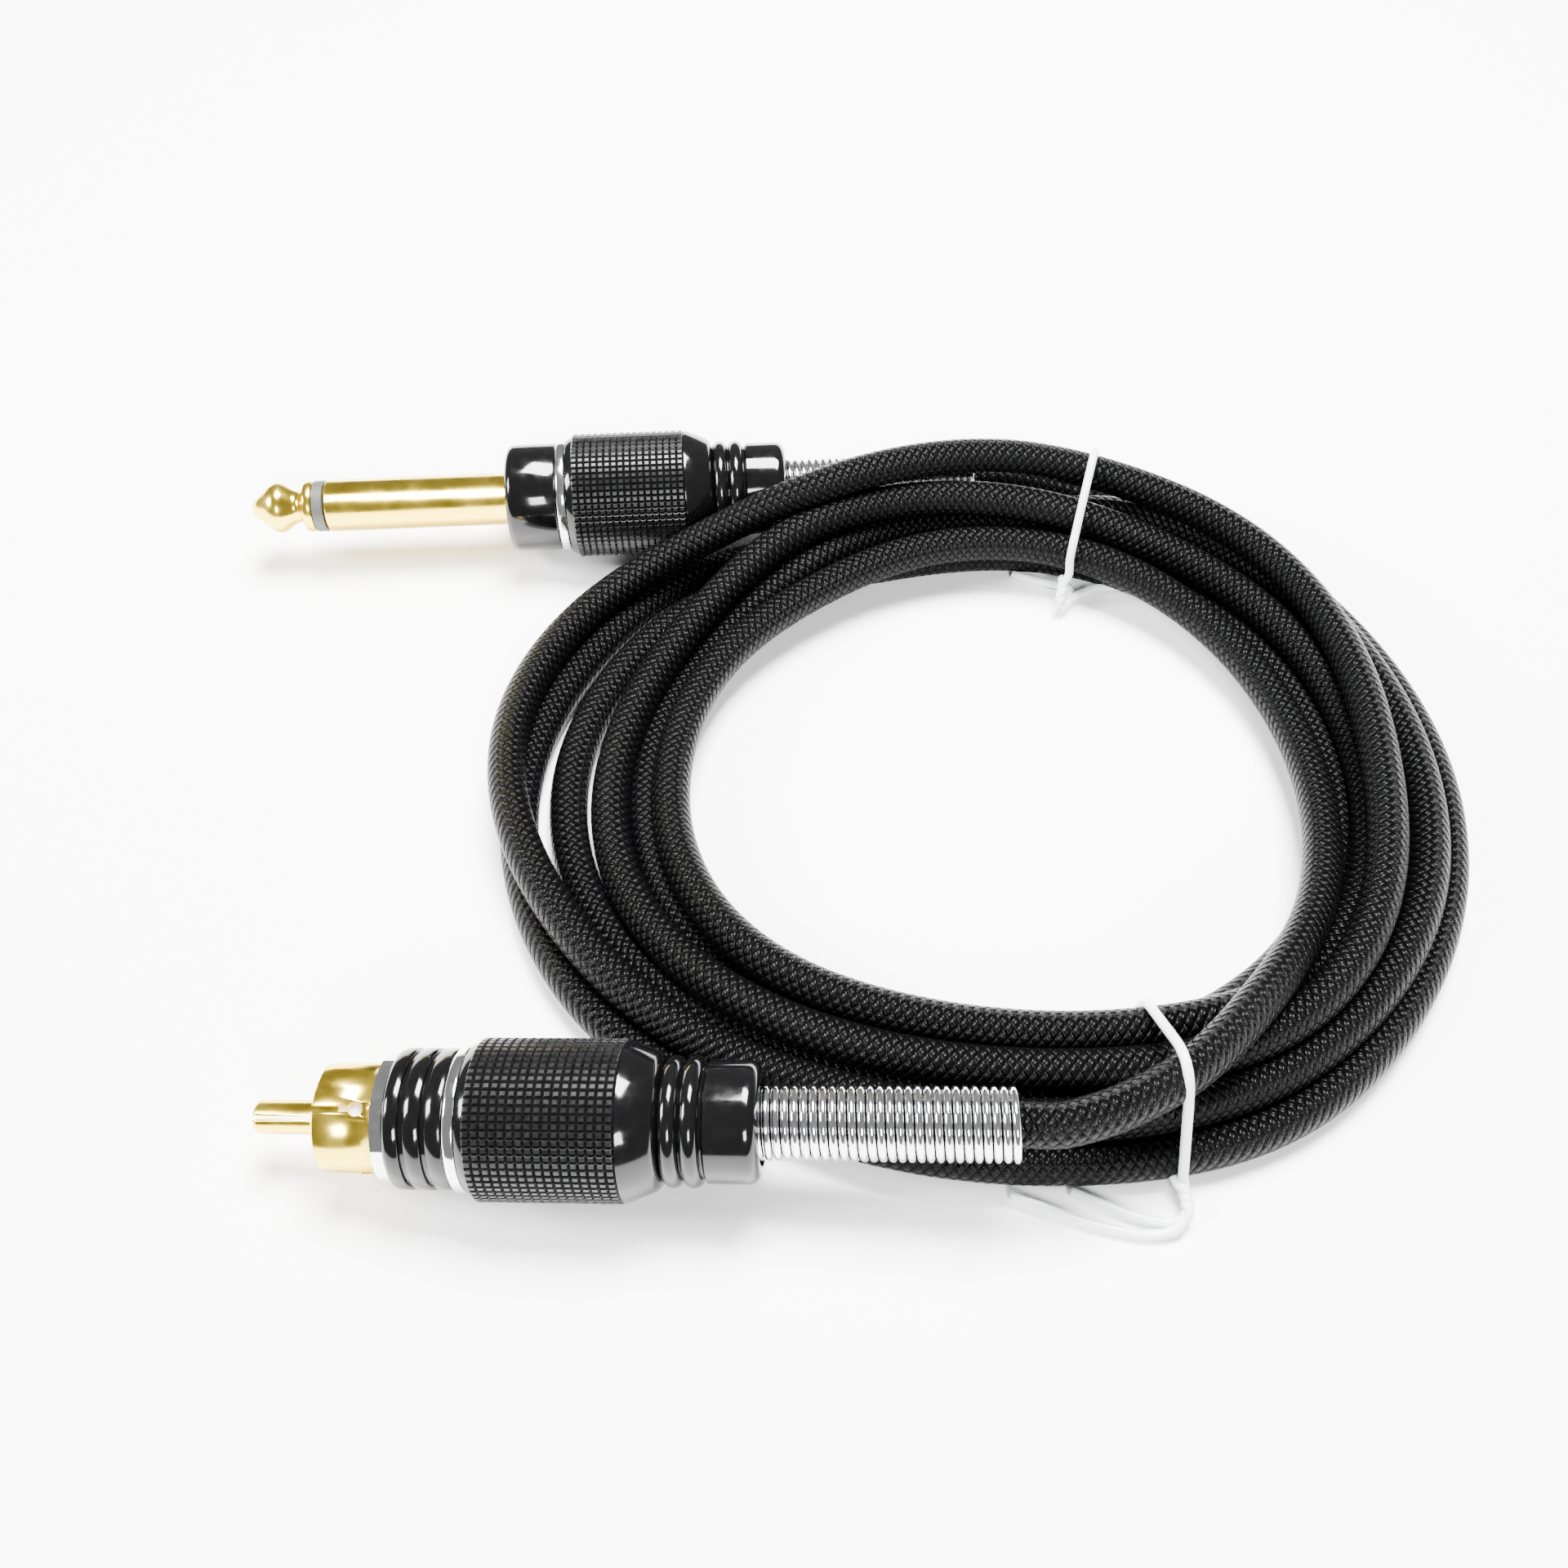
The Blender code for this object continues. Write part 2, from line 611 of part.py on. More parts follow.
# ---- RCA plug ----
def rca_pin(parent):
    """The split centre pin with a domed end and a solder cup behind."""
    pin = RCA_PIN_DIAMETER / 2
    cup = 0.9 * MM
    cup_floor = CONTACT_END - 2.0 * MM
    profile = [(0.0, cup_floor), (cup, cup_floor), (cup, CONTACT_END), (pin, CONTACT_END)]
    profile += arc((pin - 0.6 * MM, RCA_PIN_END + 0.6 * MM), 0.6 * MM, 0, -90, 3)
    profile.append((0.0, RCA_PIN_END))
    item = turned("rca_pin", profile, gold(), parent, closed=False)
    reach = RCA_PIN_REACH + 1.0 * MM
    slot = cutter_box("rca_pin_slot", (RCA_PIN_DIAMETER + MM, RCA_PIN_SLOT, 2 * reach),
                      (0.0, 0.0, RCA_PIN_END), RCA_PIN_SLOT_ANGLE, parent)
    cut(item, slot)
    return item


def rca_ground_shell(parent):
    """The slotted ground ring, its floor, and the spigot that goes back to the body."""
    outer = RCA_SHELL_DIAMETER / 2
    inner = outer - RCA_SHELL_WALL
    spigot = RCA_SPIGOT_DIAMETER / 2
    bore = INSULATOR_TUBE_DIAMETER / 2 + SLIP
    floor = RCA_SHELL_BACK - 0.7 * MM
    edge = 0.2 * MM
    profile = [(spigot, CONTACT_BACK), (spigot, RCA_SHELL_BACK), (outer, RCA_SHELL_BACK),
               (outer, RCA_SHELL_FRONT + edge), (outer - edge, RCA_SHELL_FRONT),
               (inner, RCA_SHELL_FRONT), (inner, floor), (bore, floor), (bore, CONTACT_BACK)]
    item = turned("rca_ground_shell", profile, gold(), parent, closed=True, steps=BARREL_STEPS)
    for i in range(RCA_SLOT_COUNT):
        turn = RCA_SLOT_ANGLE + i * 2 * math.pi / RCA_SLOT_COUNT
        slot = cutter_box(f"rca_slot_{i}", (2 * MM, RCA_SLOT_WIDTH, 2 * RCA_SLOT_REACH),
                          (outer, 0.0, RCA_SHELL_FRONT), turn, parent)
        hole = cutter_rod(f"rca_hole_{i}", RCA_SLOT_HOLE, 2 * MM,
                          (outer, 0.0, RCA_SHELL_FRONT + RCA_SLOT_REACH), turn, parent)
        cut(item, slot)
        cut(item, hole)
    return item


def rca_insulator(parent):
    """The white disc in the ground ring and its neck through the body."""
    disc = RCA_SHELL_DIAMETER / 2 - RCA_SHELL_WALL - SLIP
    neck = INSULATOR_TUBE_DIAMETER / 2
    bore = RCA_PIN_DIAMETER / 2 + SLIP
    disc_back = RCA_SHELL_BACK - 0.7 * MM - SLIP
    disc_front = disc_back - RCA_INSULATOR_LENGTH
    back = NIPPLE_LENGTH + SPIGOT_LENGTH + SLIP
    profile = [(neck, back), (neck, disc_back), (disc, disc_back), (disc, disc_front),
               (bore, disc_front), (bore, back)]
    return turned("rca_insulator", profile, white_plastic(), parent, closed=True)


def rca_flange(parent):
    """The bright washer between the ground ring and the collar."""
    bore = RCA_SPIGOT_DIAMETER + 2 * SLIP
    back = RCA_FLANGE_FRONT + RCA_FLANGE_WIDTH
    return tube("rca_flange", RCA_FLANGE_DIAMETER, bore, RCA_FLANGE_FRONT, back, chrome(), parent,
                steps=BARREL_STEPS)


def rca_height():
    """Height of the axis at the barrel's front, so that the knurl just touches the surface."""
    return KNURL_DIAMETER / 2 * math.cos(RCA_RISE) - KNURL_CHAMFER * math.sin(RCA_RISE)


def rca_plug():
    """Every sub-part of the RCA plug."""
    axis = plug_axis("rca_plug_axis", RCA_PLACE, RCA_TURN, RCA_RISE, rca_height())
    rca_pin(axis)
    rca_insulator(axis)
    rca_ground_shell(axis)
    rca_flange(axis)
    collar("rca_collar", RCA_COLLAR_FRONT, RCA_COLLAR_EDGE, RCA_SPIGOT_DIAMETER, RCA_GROOVES, axis)
    body("rca_body", INSULATOR_TUBE_DIAMETER + 2 * SLIP, axis)
    trim_ring("rca_trim_ring", axis)
    ground_clamp("rca_ground_clamp", axis)
    insulating_sleeve("rca_insulating_sleeve", axis)
    core_wire("rca_core_wire", axis)
    shield_pigtail("rca_shield_pigtail", axis)
    barrel("rca_barrel", axis)
    spring("rca_spring", axis)


# ---- cord ----
def lead(name, place, turn, rise, height, sweep):
    """The cord from inside a plug, straight through its spring, to where the coil begins."""
    direction = axis_direction(turn, rise)
    origin = Vector((place[0], place[1], height))
    stations = (CORD_START, 25.0 * MM, 41.0 * MM, CORD_STRAIGHT)
    points = [origin + direction * station for station in stations]
    side = Vector((-math.sin(turn), math.cos(turn), 0.0))
    points.append(points[-1] + direction * LEAD_REACH + side * sweep)
    return wire(name, points, CORD_DIAMETER, braid())


def coil_pocket(name, place, turn, rise, height):
    """The space a plug, its spring and its lead take up, as one stepped rod that cuts the coil."""
    tail = BEAD_DIAMETER / 2 + POCKET_CLEARANCE
    stem = SPRING_DIAMETER / 2 + POCKET_CLEARANCE
    grip = KNURL_DIAMETER / 2 + POCKET_CLEARANCE
    step = TAIL_END + UNSCREW_TRAVEL + POCKET_CLEARANCE
    grip_end = CONE_END + UNSCREW_TRAVEL
    end = CORD_STRAIGHT + LEAD_REACH + 2 * CORD_GAP
    profile = [(0.0, end), (stem, end), (stem, step), (tail, step), (tail, grip_end),
               (grip, grip_end), (grip, POCKET_FRONT), (0.0, POCKET_FRONT)]
    count = len(profile)
    data = bpy.data.meshes.new(name)
    data.from_pydata([(radius, 0.0, z) for radius, z in profile],
                     [(i, i + 1) for i in range(count - 1)], [])
    item = add_object(name, data, CUTTERS, None)
    screw = item.modifiers.new("Turn", "SCREW")
    screw.angle = 2 * math.pi
    screw.steps = STEPS
    screw.render_steps = STEPS
    screw.use_merge_vertices = True
    screw.merge_threshold = 0.00001
    item.location = (place[0], place[1], height)
    item.rotation_euler = (0.0, math.pi / 2 - rise, turn)
    item.hide_render = True
    item.display_type = "WIRE"
    return item


def coil(pockets):
    """One turned ring of the bundle's outer shape, pocketed where the plugs lie in it."""
    edge = COIL_EDGE
    outer_corner = COIL_OUTER_RADIUS - edge
    inner_corner = COIL_INNER_RADIUS + edge
    profile = arc((outer_corner, COIL_TOP - edge), edge, 90, 0, 2)
    profile += arc((outer_corner, COIL_BOTTOM + edge), edge, 0, -90, 2)
    profile += arc((inner_corner, COIL_BOTTOM + edge), edge, -90, -180, 2)
    profile += arc((inner_corner, COIL_TOP - edge), edge, 180, 90, 2)
    item = turned("cord_coil", profile, braid(), None, closed=True, steps=COIL_STEPS)
    item.location = (COIL_CENTRE[0], COIL_CENTRE[1], 0.0)
    for pocket in pockets:
        cut(item, pocket)
    return item


def cord():
    """The coil and the two leads that come out of the plugs."""
    jack_height = KNURL_DIAMETER / 2
    pockets = [coil_pocket("ts_pocket", JACK_PLACE, JACK_TURN, 0.0, jack_height),
               coil_pocket("rca_pocket", RCA_PLACE, RCA_TURN, RCA_RISE, rca_height())]
    coil(pockets)
    lead("cord_lead_ts", JACK_PLACE, JACK_TURN, 0.0, jack_height, -0.3 * MM)
    lead("cord_lead_rca", RCA_PLACE, RCA_TURN, RCA_RISE, rca_height(), 0.3 * MM)


# ---- ties ----
def tie_section(angle, knot_side):
    """The loop round the bundle, open at the knot: +1 knots it outside, -1 inside the coil."""
    reach = TIE_DIAMETER / 2 + TIE_CLEARANCE
    low = TIE_DIAMETER / 2 + 0.02 * MM
    high = COIL_TOP + reach
    half = (COIL_OUTER_RADIUS - COIL_INNER_RADIUS) / 2 + reach
    corner = TIE_CORNER
    points = []
    points += arc((half - corner, low + corner), corner, -60, -90, 1)
    points += arc((corner - half, low + corner), corner, -90, -180, 3)
    points += arc((corner - half, high - corner), corner, 180, 90, 3)
    points += arc((half - corner, high - corner), corner, 90, -5, 3)
    return [coil_point(angle, COIL_MIDDLE + knot_side * across, z) for across, z in points]


def coil_point(angle, radius, z):
    """A point in the radial plane at an angle round the coil."""
    x = COIL_CENTRE[0] + radius * math.cos(angle)
    y = COIL_CENTRE[1] + radius * math.sin(angle)
    return Vector((x, y, z))


def twist(start, end, phase):
    """One strand of the twisted pair between two points."""
    along = end - start
    ahead = along.normalized()
    side = ahead.cross(Vector((0.0, 0.0, 1.0))).normalized()
    up = side.cross(ahead)
    count = 8 * TWIST_TURNS
    points = []
    for i in range(count + 1):
        angle = phase + 2 * math.pi * TWIST_TURNS * i / count
        offset = side * math.cos(angle) + up * math.sin(angle)
        points.append(start + along * (i / count) + offset * TWIST_RADIUS)
    return points


def tie(name, angle, knot_side, tail_a, tail_b):
    """A wire looped round the bundle, its ends twisted together beside it and left loose."""
    reach = (COIL_OUTER_RADIUS - COIL_INNER_RADIUS) / 2 + TIE_DIAMETER + TIE_CLEARANCE + 1.2 * MM
    knot = coil_point(angle, COIL_MIDDLE + knot_side * reach, 3.4 * MM)
    knot_end = coil_point(angle, COIL_MIDDLE + knot_side * (reach + 0.8 * TWIST_LENGTH), 2.2 * MM)
    under = twist(knot_end, knot, math.radians(180))
    over = twist(knot, knot_end, math.radians(0))
    points = list(tail_a) + under + tie_section(angle, knot_side) + over + list(tail_b)
    return wire(name, points, TIE_DIAMETER, clear_plastic(), sides_step=1)


def millimetres(*rows):
    return [Vector(row) * MM for row in rows]


def ties():
    """The two wire ties: the front one is knotted outside the coil, the back one inside it."""
    tie("tie_front", FRONT_TIE_ANGLE, 1,
        millimetres((39.0, -55.5, 0.7), (46.0, -59.0, 0.7), (54.0, -61.0, 0.8), (60.5, -60.4, 1.4)),
        millimetres((67.5, -59.5, 2.6)))
    tie("tie_back", BACK_TIE_ANGLE, -1,
        millimetres((38.0, 25.5, 0.7), (45.0, 24.0, 0.7), (50.0, 23.0, 1.1)),
        millimetres((57.5, 21.0, 2.4)))


clear_scene()
PARTS = new_collection("instrument_cable")
CUTTERS = new_collection("cutters")
jack_plug()
rca_plug()
cord()
ties()
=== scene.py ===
import json
import math

import bmesh
import bpy
import numpy as np
from mathutils import Matrix, Vector


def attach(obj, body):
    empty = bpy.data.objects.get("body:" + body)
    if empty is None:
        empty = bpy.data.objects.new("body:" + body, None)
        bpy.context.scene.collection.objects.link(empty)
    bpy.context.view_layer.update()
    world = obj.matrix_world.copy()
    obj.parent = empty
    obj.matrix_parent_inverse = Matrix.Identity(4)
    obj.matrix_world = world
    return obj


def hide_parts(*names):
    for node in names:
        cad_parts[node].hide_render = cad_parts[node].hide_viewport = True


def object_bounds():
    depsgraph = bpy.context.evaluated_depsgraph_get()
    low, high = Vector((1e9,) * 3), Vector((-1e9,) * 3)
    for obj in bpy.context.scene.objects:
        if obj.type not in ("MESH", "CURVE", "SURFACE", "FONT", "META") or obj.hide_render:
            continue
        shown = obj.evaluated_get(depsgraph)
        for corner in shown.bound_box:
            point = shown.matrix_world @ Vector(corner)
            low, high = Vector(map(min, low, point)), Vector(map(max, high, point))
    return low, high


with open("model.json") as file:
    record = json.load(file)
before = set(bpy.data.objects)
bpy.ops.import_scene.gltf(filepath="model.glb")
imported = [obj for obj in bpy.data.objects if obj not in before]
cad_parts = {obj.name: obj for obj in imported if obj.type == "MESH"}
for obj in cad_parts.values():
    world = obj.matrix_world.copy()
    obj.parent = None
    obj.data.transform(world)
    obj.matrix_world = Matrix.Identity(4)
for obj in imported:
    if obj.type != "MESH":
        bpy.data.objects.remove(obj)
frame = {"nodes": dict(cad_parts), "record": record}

cad_box = [list(corner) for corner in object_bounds()]
MM = 0.001


# ---- table, light and camera ----
# The cable lies on a plain white table under a soft lamp from above and behind,
# with two weaker lamps from the left and the front and the room's own pale light.
def two_toned(tree, shader, factor, dark, light):
    """Colour that goes from one shade to another with a factor, such as a noise."""
    tone = tree.nodes.new("ShaderNodeMix")
    tone.data_type = "RGBA"
    tone.inputs["A"].default_value = (*dark, 1.0)
    tone.inputs["B"].default_value = (*light, 1.0)
    tree.links.new(factor, tone.inputs["Factor"])
    tree.links.new(tone.outputs["Result"], shader.inputs["Base Color"])


def table_finish():
    """Matt white board, very slightly uneven in shade."""
    material = bpy.data.materials.new("table_top")
    material.use_nodes = True
    tree = material.node_tree
    shader = tree.nodes["Principled BSDF"]
    shader.inputs["Roughness"].default_value = 0.6
    shader.inputs["Specular IOR Level"].default_value = 0.25
    place = tree.nodes.new("ShaderNodeTexCoord")
    noise = tree.nodes.new("ShaderNodeTexNoise")
    noise.inputs["Scale"].default_value = 6.0
    tree.links.new(place.outputs["Object"], noise.inputs["Vector"])
    two_toned(tree, shader, noise.outputs["Fac"], (0.90, 0.90, 0.905), (0.93, 0.93, 0.93))
    return material


bm = bmesh.new()
bmesh.ops.create_grid(bm, x_segments=2, y_segments=2, size=3.0)
table_mesh = bpy.data.meshes.new("table_top")
bm.to_mesh(table_mesh)
bm.free()
table_mesh.materials.append(table_finish())
table_top = bpy.data.objects.new("table_top", table_mesh)
bpy.context.scene.collection.objects.link(table_top)

world = bpy.data.worlds.new("room")
world.use_nodes = True
world.node_tree.nodes["Background"].inputs["Color"].default_value = (1.0, 1.0, 1.0, 1.0)
world.node_tree.nodes["Background"].inputs["Strength"].default_value = 0.30
bpy.context.scene.world = world


def soft_light(name, place, target, size, power):
    """A square lamp facing a point."""
    lamp = bpy.data.lights.new(name, "AREA")
    lamp.size = size
    lamp.energy = power
    item = bpy.data.objects.new(name, lamp)
    item.location = place
    aim = Vector(target) - Vector(place)
    item.rotation_euler = aim.to_track_quat("-Z", "Y").to_euler()
    bpy.context.scene.collection.objects.link(item)


middle = ((cad_box[0][0] + cad_box[1][0]) / 2, (cad_box[0][1] + cad_box[1][1]) / 2, 0.0)
soft_light("overhead", (0.10, 0.22, 0.62), middle, 0.30, 44.0)
soft_light("from_left", (-0.55, -0.05, 0.40), middle, 0.22, 15.0)
soft_light("from_front", (0.15, -0.60, 0.45), middle, 0.20, 10.0)

camera_data = bpy.data.cameras.new("camera")
camera_data.sensor_width = 36.0
camera_data.lens = 36.72
camera_data.shift_x = -0.0130
camera_data.shift_y = 0.0104
camera_data.clip_start = 0.005
camera = bpy.data.objects.new("camera", camera_data)
camera.location = (0.0235, -0.1088, 0.1434)
camera.rotation_euler = (math.radians(37.22), 0.0, 0.0)
bpy.context.scene.collection.objects.link(camera)
bpy.context.scene.camera = camera


# ---- cord ----
# One length of 4.2 mm cord in a woven black nylon jacket. It leaves the jack plug,
# is wound six and a half turns into a loose flat bundle and runs into the RCA plug.
CORD_DIAMETER = 4.2
CORD_START = 13.5
STRAIGHT_END = 55.0
COIL_CENTRE = (42.0, 1.5)
TURN_STATIONS = 8
# Radius and height of each turn, in millimetres, every eighth of a turn clockwise from
# the side where the jack lies. Each row is one turn, from the jack's end of the cord.
TURNS = [
    [(43.8, 7.5), (49.8, 3.2), (51.8, 2.1), (50.4, 2.1),
     (45.4, 2.1), (48.6, 2.1), (50.2, 2.1), (44.8, 2.1)],
    [(40.8, 2.1), (44.6, 2.1), (46.6, 2.1), (45.4, 2.1),
     (40.4, 2.1), (42.6, 2.1), (44.8, 2.6), (39.8, 2.1)],
    [(36.2, 2.1), (39.4, 2.1), (40.9, 2.1), (40.4, 2.1),
     (35.2, 2.1), (36.4, 2.1), (36.2, 2.1), (34.8, 2.1)],
    [(39.4, 6.2), (47.6, 6.2), (49.2, 6.2), (48.2, 5.8),
     (42.6, 5.8), (45.6, 6.0), (51.2, 6.2), (47.0, 7.6)],
    [(42.0, 11.0), (47.6, 10.2), (43.2, 10.0), (44.8, 8.2),
     (38.0, 6.2), (40.2, 6.2), (39.6, 6.0), (37.8, 6.6)],
    [(38.0, 10.0), (42.2, 6.2), (42.6, 6.0), (41.6, 6.0),
     (33.4, 5.8), (35.2, 6.2), (33.2, 6.0), (32.8, 6.2)],
    [(34.4, 6.2), (36.8, 6.0), (37.4, 6.4), (40.6, 9.0)],
]
# More places where the cord is led, as turns from the start, radius and height.
BENDS_BETWEEN = [(0.44, 46.8, 2.1), (1.44, 41.6, 2.1), (2.44, 36.6, 2.1), (3.44, 44.6, 5.8),
                 (3.917, 42.4, 10.8), (4.164, 46.8, 10.4), (4.83, 36.2, 8.8),
                 (6.44, 43.1, 10.4), (6.5, 46.5, 11.2)]
POINT_SPACING = 3.2
RELAX_ROUNDS = 260
LAST_ROUNDS = 60    # in these nothing draws the turns back to where they were led

joints = {row["name"]: row for row in frame["record"]["behaviour"]["joints"]}


def plug_place(joint):
    """The matrix that puts a piece turned about +Z on a plug's axis."""
    row = joints[joint]
    axis = Vector(row["axis"])
    turn = math.atan2(axis.y, axis.x)
    rise = math.asin(axis.z)
    tilt = Matrix.Rotation(turn, 4, "Z") @ Matrix.Rotation(math.pi / 2 - rise, 4, "Y")
    return Matrix.Translation(Vector(row["pos_m"])) @ tilt


JACK = plug_place("ts_shell_turn")
RCA = plug_place("rca_shell_turn")


def on_axis(place, along):
    """A point on a plug's axis, in millimetres, as a row of numbers."""
    return np.array(place @ Vector((0.0, 0.0, along * MM))) / MM


def through(stations, rows, asked):
    """A smooth curve through rows given at stations, read at other places."""
    slope = np.empty_like(rows)
    slope[1:-1] = (rows[2:] - rows[:-2]) / (stations[2:] - stations[:-2])[:, None]
    slope[0] = (rows[1] - rows[0]) / (stations[1] - stations[0])
    slope[-1] = (rows[-1] - rows[-2]) / (stations[-1] - stations[-2])
    left = np.clip(np.searchsorted(stations, asked, side="right") - 1, 0, len(stations) - 2)
    span = (stations[left + 1] - stations[left])[:, None]
    u = (asked - stations[left])[:, None] / span
    return ((2 * u**3 - 3 * u**2 + 1) * rows[left] + (u**3 - 2 * u**2 + u) * span * slope[left]
            + (3 * u**2 - 2 * u**3) * rows[left + 1] + (u**3 - u**2) * span * slope[left + 1])


def evenly(line, spacing):
    """The same line with its points evenly spaced, and the spacing it got."""
    along = np.concatenate([[0.0], np.cumsum(np.linalg.norm(np.diff(line, axis=0), axis=1))])
    count = int(round(along[-1] / spacing))
    marks = np.linspace(0.0, along[-1], count + 1)
    points = np.stack([np.interp(marks, along, line[:, i]) for i in range(3)], axis=1)
    return points, along[-1] / count


def wound_route():
    """The turns as wound, between the straight stretches at the two plugs."""
    stations = [turn + i / TURN_STATIONS for turn, row in enumerate(TURNS) for i in range(len(row))]
    rows = [station for row in TURNS for station in row]
    stations += [row[0] for row in BENDS_BETWEEN]
    rows += [row[1:] for row in BENDS_BETWEEN]
    order = np.argsort(stations)
    first_turn, last_turn = 0.03, 6.47
    asked = np.arange(first_turn, last_turn, 1 / 72)
    shape = through(np.array(stations)[order], np.array(rows)[order], asked)
    angle = math.radians(90) - 2 * math.pi * asked
    turns = np.stack([COIL_CENTRE[0] + shape[:, 0] * np.cos(angle),
                      COIL_CENTRE[1] + shape[:, 0] * np.sin(angle), shape[:, 1]], axis=1)
    jack_end = on_axis(JACK, STRAIGHT_END)
    rca_end = on_axis(RCA, STRAIGHT_END)
    jack_way = (jack_end - on_axis(JACK, 0.0)) / STRAIGHT_END
    rca_way = (rca_end - on_axis(RCA, 0.0)) / STRAIGHT_END
    past_plug = 6.0
    clear = (asked > 0.2) | ((turns - jack_end) @ jack_way > past_plug)
    clear &= (asked < 6.3) | ((turns - rca_end) @ rca_way > past_plug)
    head = [on_axis(JACK, along) for along in (38.0, 46.0, STRAIGHT_END)]
    tail = [on_axis(RCA, along) for along in (STRAIGHT_END, 46.0, 38.0)]
    return np.vstack([head, turns[clear], tail])


def plug_rods():
    """The plugs as rods that the cord lies beside: two ends and a radius each."""
    grip = (-6.0, 14.5, 7.5)
    tail = (14.5, 31.4, 6.0)
    spring_and_travel = (26.0, 54.8, 3.5)
    rods = []
    for place in (JACK, RCA):
        for start, end, radius in (grip, tail, spring_and_travel):
            rods.append((on_axis(place, start), on_axis(place, end), radius))
    return rods


def settle(line):
    """Lets the turns sink onto each other: stiff, of fixed length, and never inside one another."""
    line, spacing = evenly(line, POINT_SPACING)
    wound = line.copy()
    count = len(line)
    held = 6
    stiffness, stretch = 0.22, 0.4
    sink, last_sink, draw_back = 0.02, 0.004, 0.03
    push_apart, beside_plug = 1.25, 0.1
    lowest = CORD_DIAMETER / 2 + 0.02
    free = np.ones((count, 1))
    free[:held] = 0.0
    free[-held:] = 0.0
    first, second = np.triu_indices(count, k=int(CORD_DIAMETER * 2.5 / spacing) + 1)
    rods = plug_rods()
    for step in range(RELAX_ROUNDS):
        for _ in range(6):
            bow = np.zeros_like(line)
            bow[1:-1] = (line[:-2] + line[2:]) / 2 - line[1:-1]
            kink = np.zeros_like(line)
            kink[2:-2] = (bow[1:-3] + bow[3:-1]) / 2 - bow[2:-2]
            line -= stiffness * free * kink
        if step < RELAX_ROUNDS - LAST_ROUNDS:
            line[:, 2] -= sink * free[:, 0]
            line += draw_back * free * (wound - line) * np.array([1.0, 1.0, 0.2])
        else:
            line[:, 2] -= last_sink * free[:, 0]
        for _ in range(2):
            gap = line[second] - line[first]
            far = np.linalg.norm(gap, axis=1)
            close = far < CORD_DIAMETER
            a, b = first[close], second[close]
            reach = np.maximum(far[close], 1e-6)[:, None]
            push = gap[close] / reach * (CORD_DIAMETER - reach) * 0.5
            shift = np.zeros_like(line)
            touches = np.zeros(count)
            np.add.at(shift, a, -push)
            np.add.at(shift, b, push)
            np.add.at(touches, a, 1)
            np.add.at(touches, b, 1)
            line += push_apart * free * shift / np.maximum(touches, 1)[:, None]
            for start, end, radius in rods:
                way = end - start
                part = np.clip((line - start) @ way / (way @ way), 0.0, 1.0)
                off = line - (start + part[:, None] * way)
                size = np.linalg.norm(off, axis=1)
                need = radius + CORD_DIAMETER / 2 + beside_plug
                inside = (size < need) & (free[:, 0] > 0)
                line[inside] += off[inside] / size[inside][:, None] * (need - size[inside])[:, None]
            low = (line[:, 2] < lowest) & (free[:, 0] > 0)
            line[low, 2] = lowest
        for _ in range(2):
            run = line[1:] - line[:-1]
            size = np.linalg.norm(run, axis=1)[:, None]
            fix = run / size * (size - spacing) * stretch
            line[:-1] += free[:-1] * fix
            line[1:] -= free[1:] * fix
    return line


def smooth_line(line, spacing):
    """A finer line through the same points."""
    along = np.arange(len(line), dtype=float)
    fine = through(along, line, np.linspace(0.0, len(line) - 1.0, 8 * len(line)))
    return evenly(fine, spacing)[0]


def tube(name, line, section, material):
    """A closed tube along a line, both in millimetres, with its length and girth as UVs."""
    sides = len(section)
    bm = bmesh.new()
    across = Vector((0.0, 0.0, 1.0))
    rings = []
    ways = np.gradient(line, axis=0)
    for point, way in zip(line, ways):
        ahead = Vector(way).normalized()
        across = (across - ahead * across.dot(ahead)).normalized()
        side = ahead.cross(across)
        ring = []
        for right, up in section:
            ring.append(bm.verts.new((Vector(point) + side * right + across * up) * MM))
        rings.append(ring)
    girth = bm.loops.layers.uv.new("UVMap")
    travelled = np.concatenate([[0.0], np.cumsum(np.linalg.norm(np.diff(line, axis=0), axis=1))])
    for i in range(len(rings) - 1):
        for j in range(sides):
            after = (j + 1) % sides
            face = bm.faces.new((rings[i][j], rings[i][after], rings[i + 1][after], rings[i + 1][j]))
            face.smooth = True
            places = ((i, j), (i, j + 1), (i + 1, j + 1), (i + 1, j))
            for loop, (step, turn) in zip(face.loops, places):
                loop[girth].uv = (travelled[step] * MM, turn / sides)
    bm.faces.new(rings[0][::-1])
    bm.faces.new(rings[-1])
    bmesh.ops.recalc_face_normals(bm, faces=bm.faces)
    mesh = bpy.data.meshes.new(name)
    bm.to_mesh(mesh)
    bm.free()
    mesh.materials.append(material)
    item = bpy.data.objects.new(name, mesh)
    bpy.context.scene.collection.objects.link(item)
    return item


def round_section(width, height, sides):
    """The outline of a round or oval section, in millimetres."""
    turns = [2 * math.pi * i / sides for i in range(sides)]
    return [(width / 2 * math.cos(turn), height / 2 * math.sin(turn)) for turn in turns]


def start_material(name, colour, metallic, roughness):
    """A Principled material and what is needed to add nodes to it."""
    material = bpy.data.materials.new(name)
    material.use_nodes = True
    tree = material.node_tree
    shader = tree.nodes["Principled BSDF"]
    shader.inputs["Base Color"].default_value = (*colour, 1.0)
    shader.inputs["Metallic"].default_value = metallic
    shader.inputs["Roughness"].default_value = roughness
    return material, tree, shader


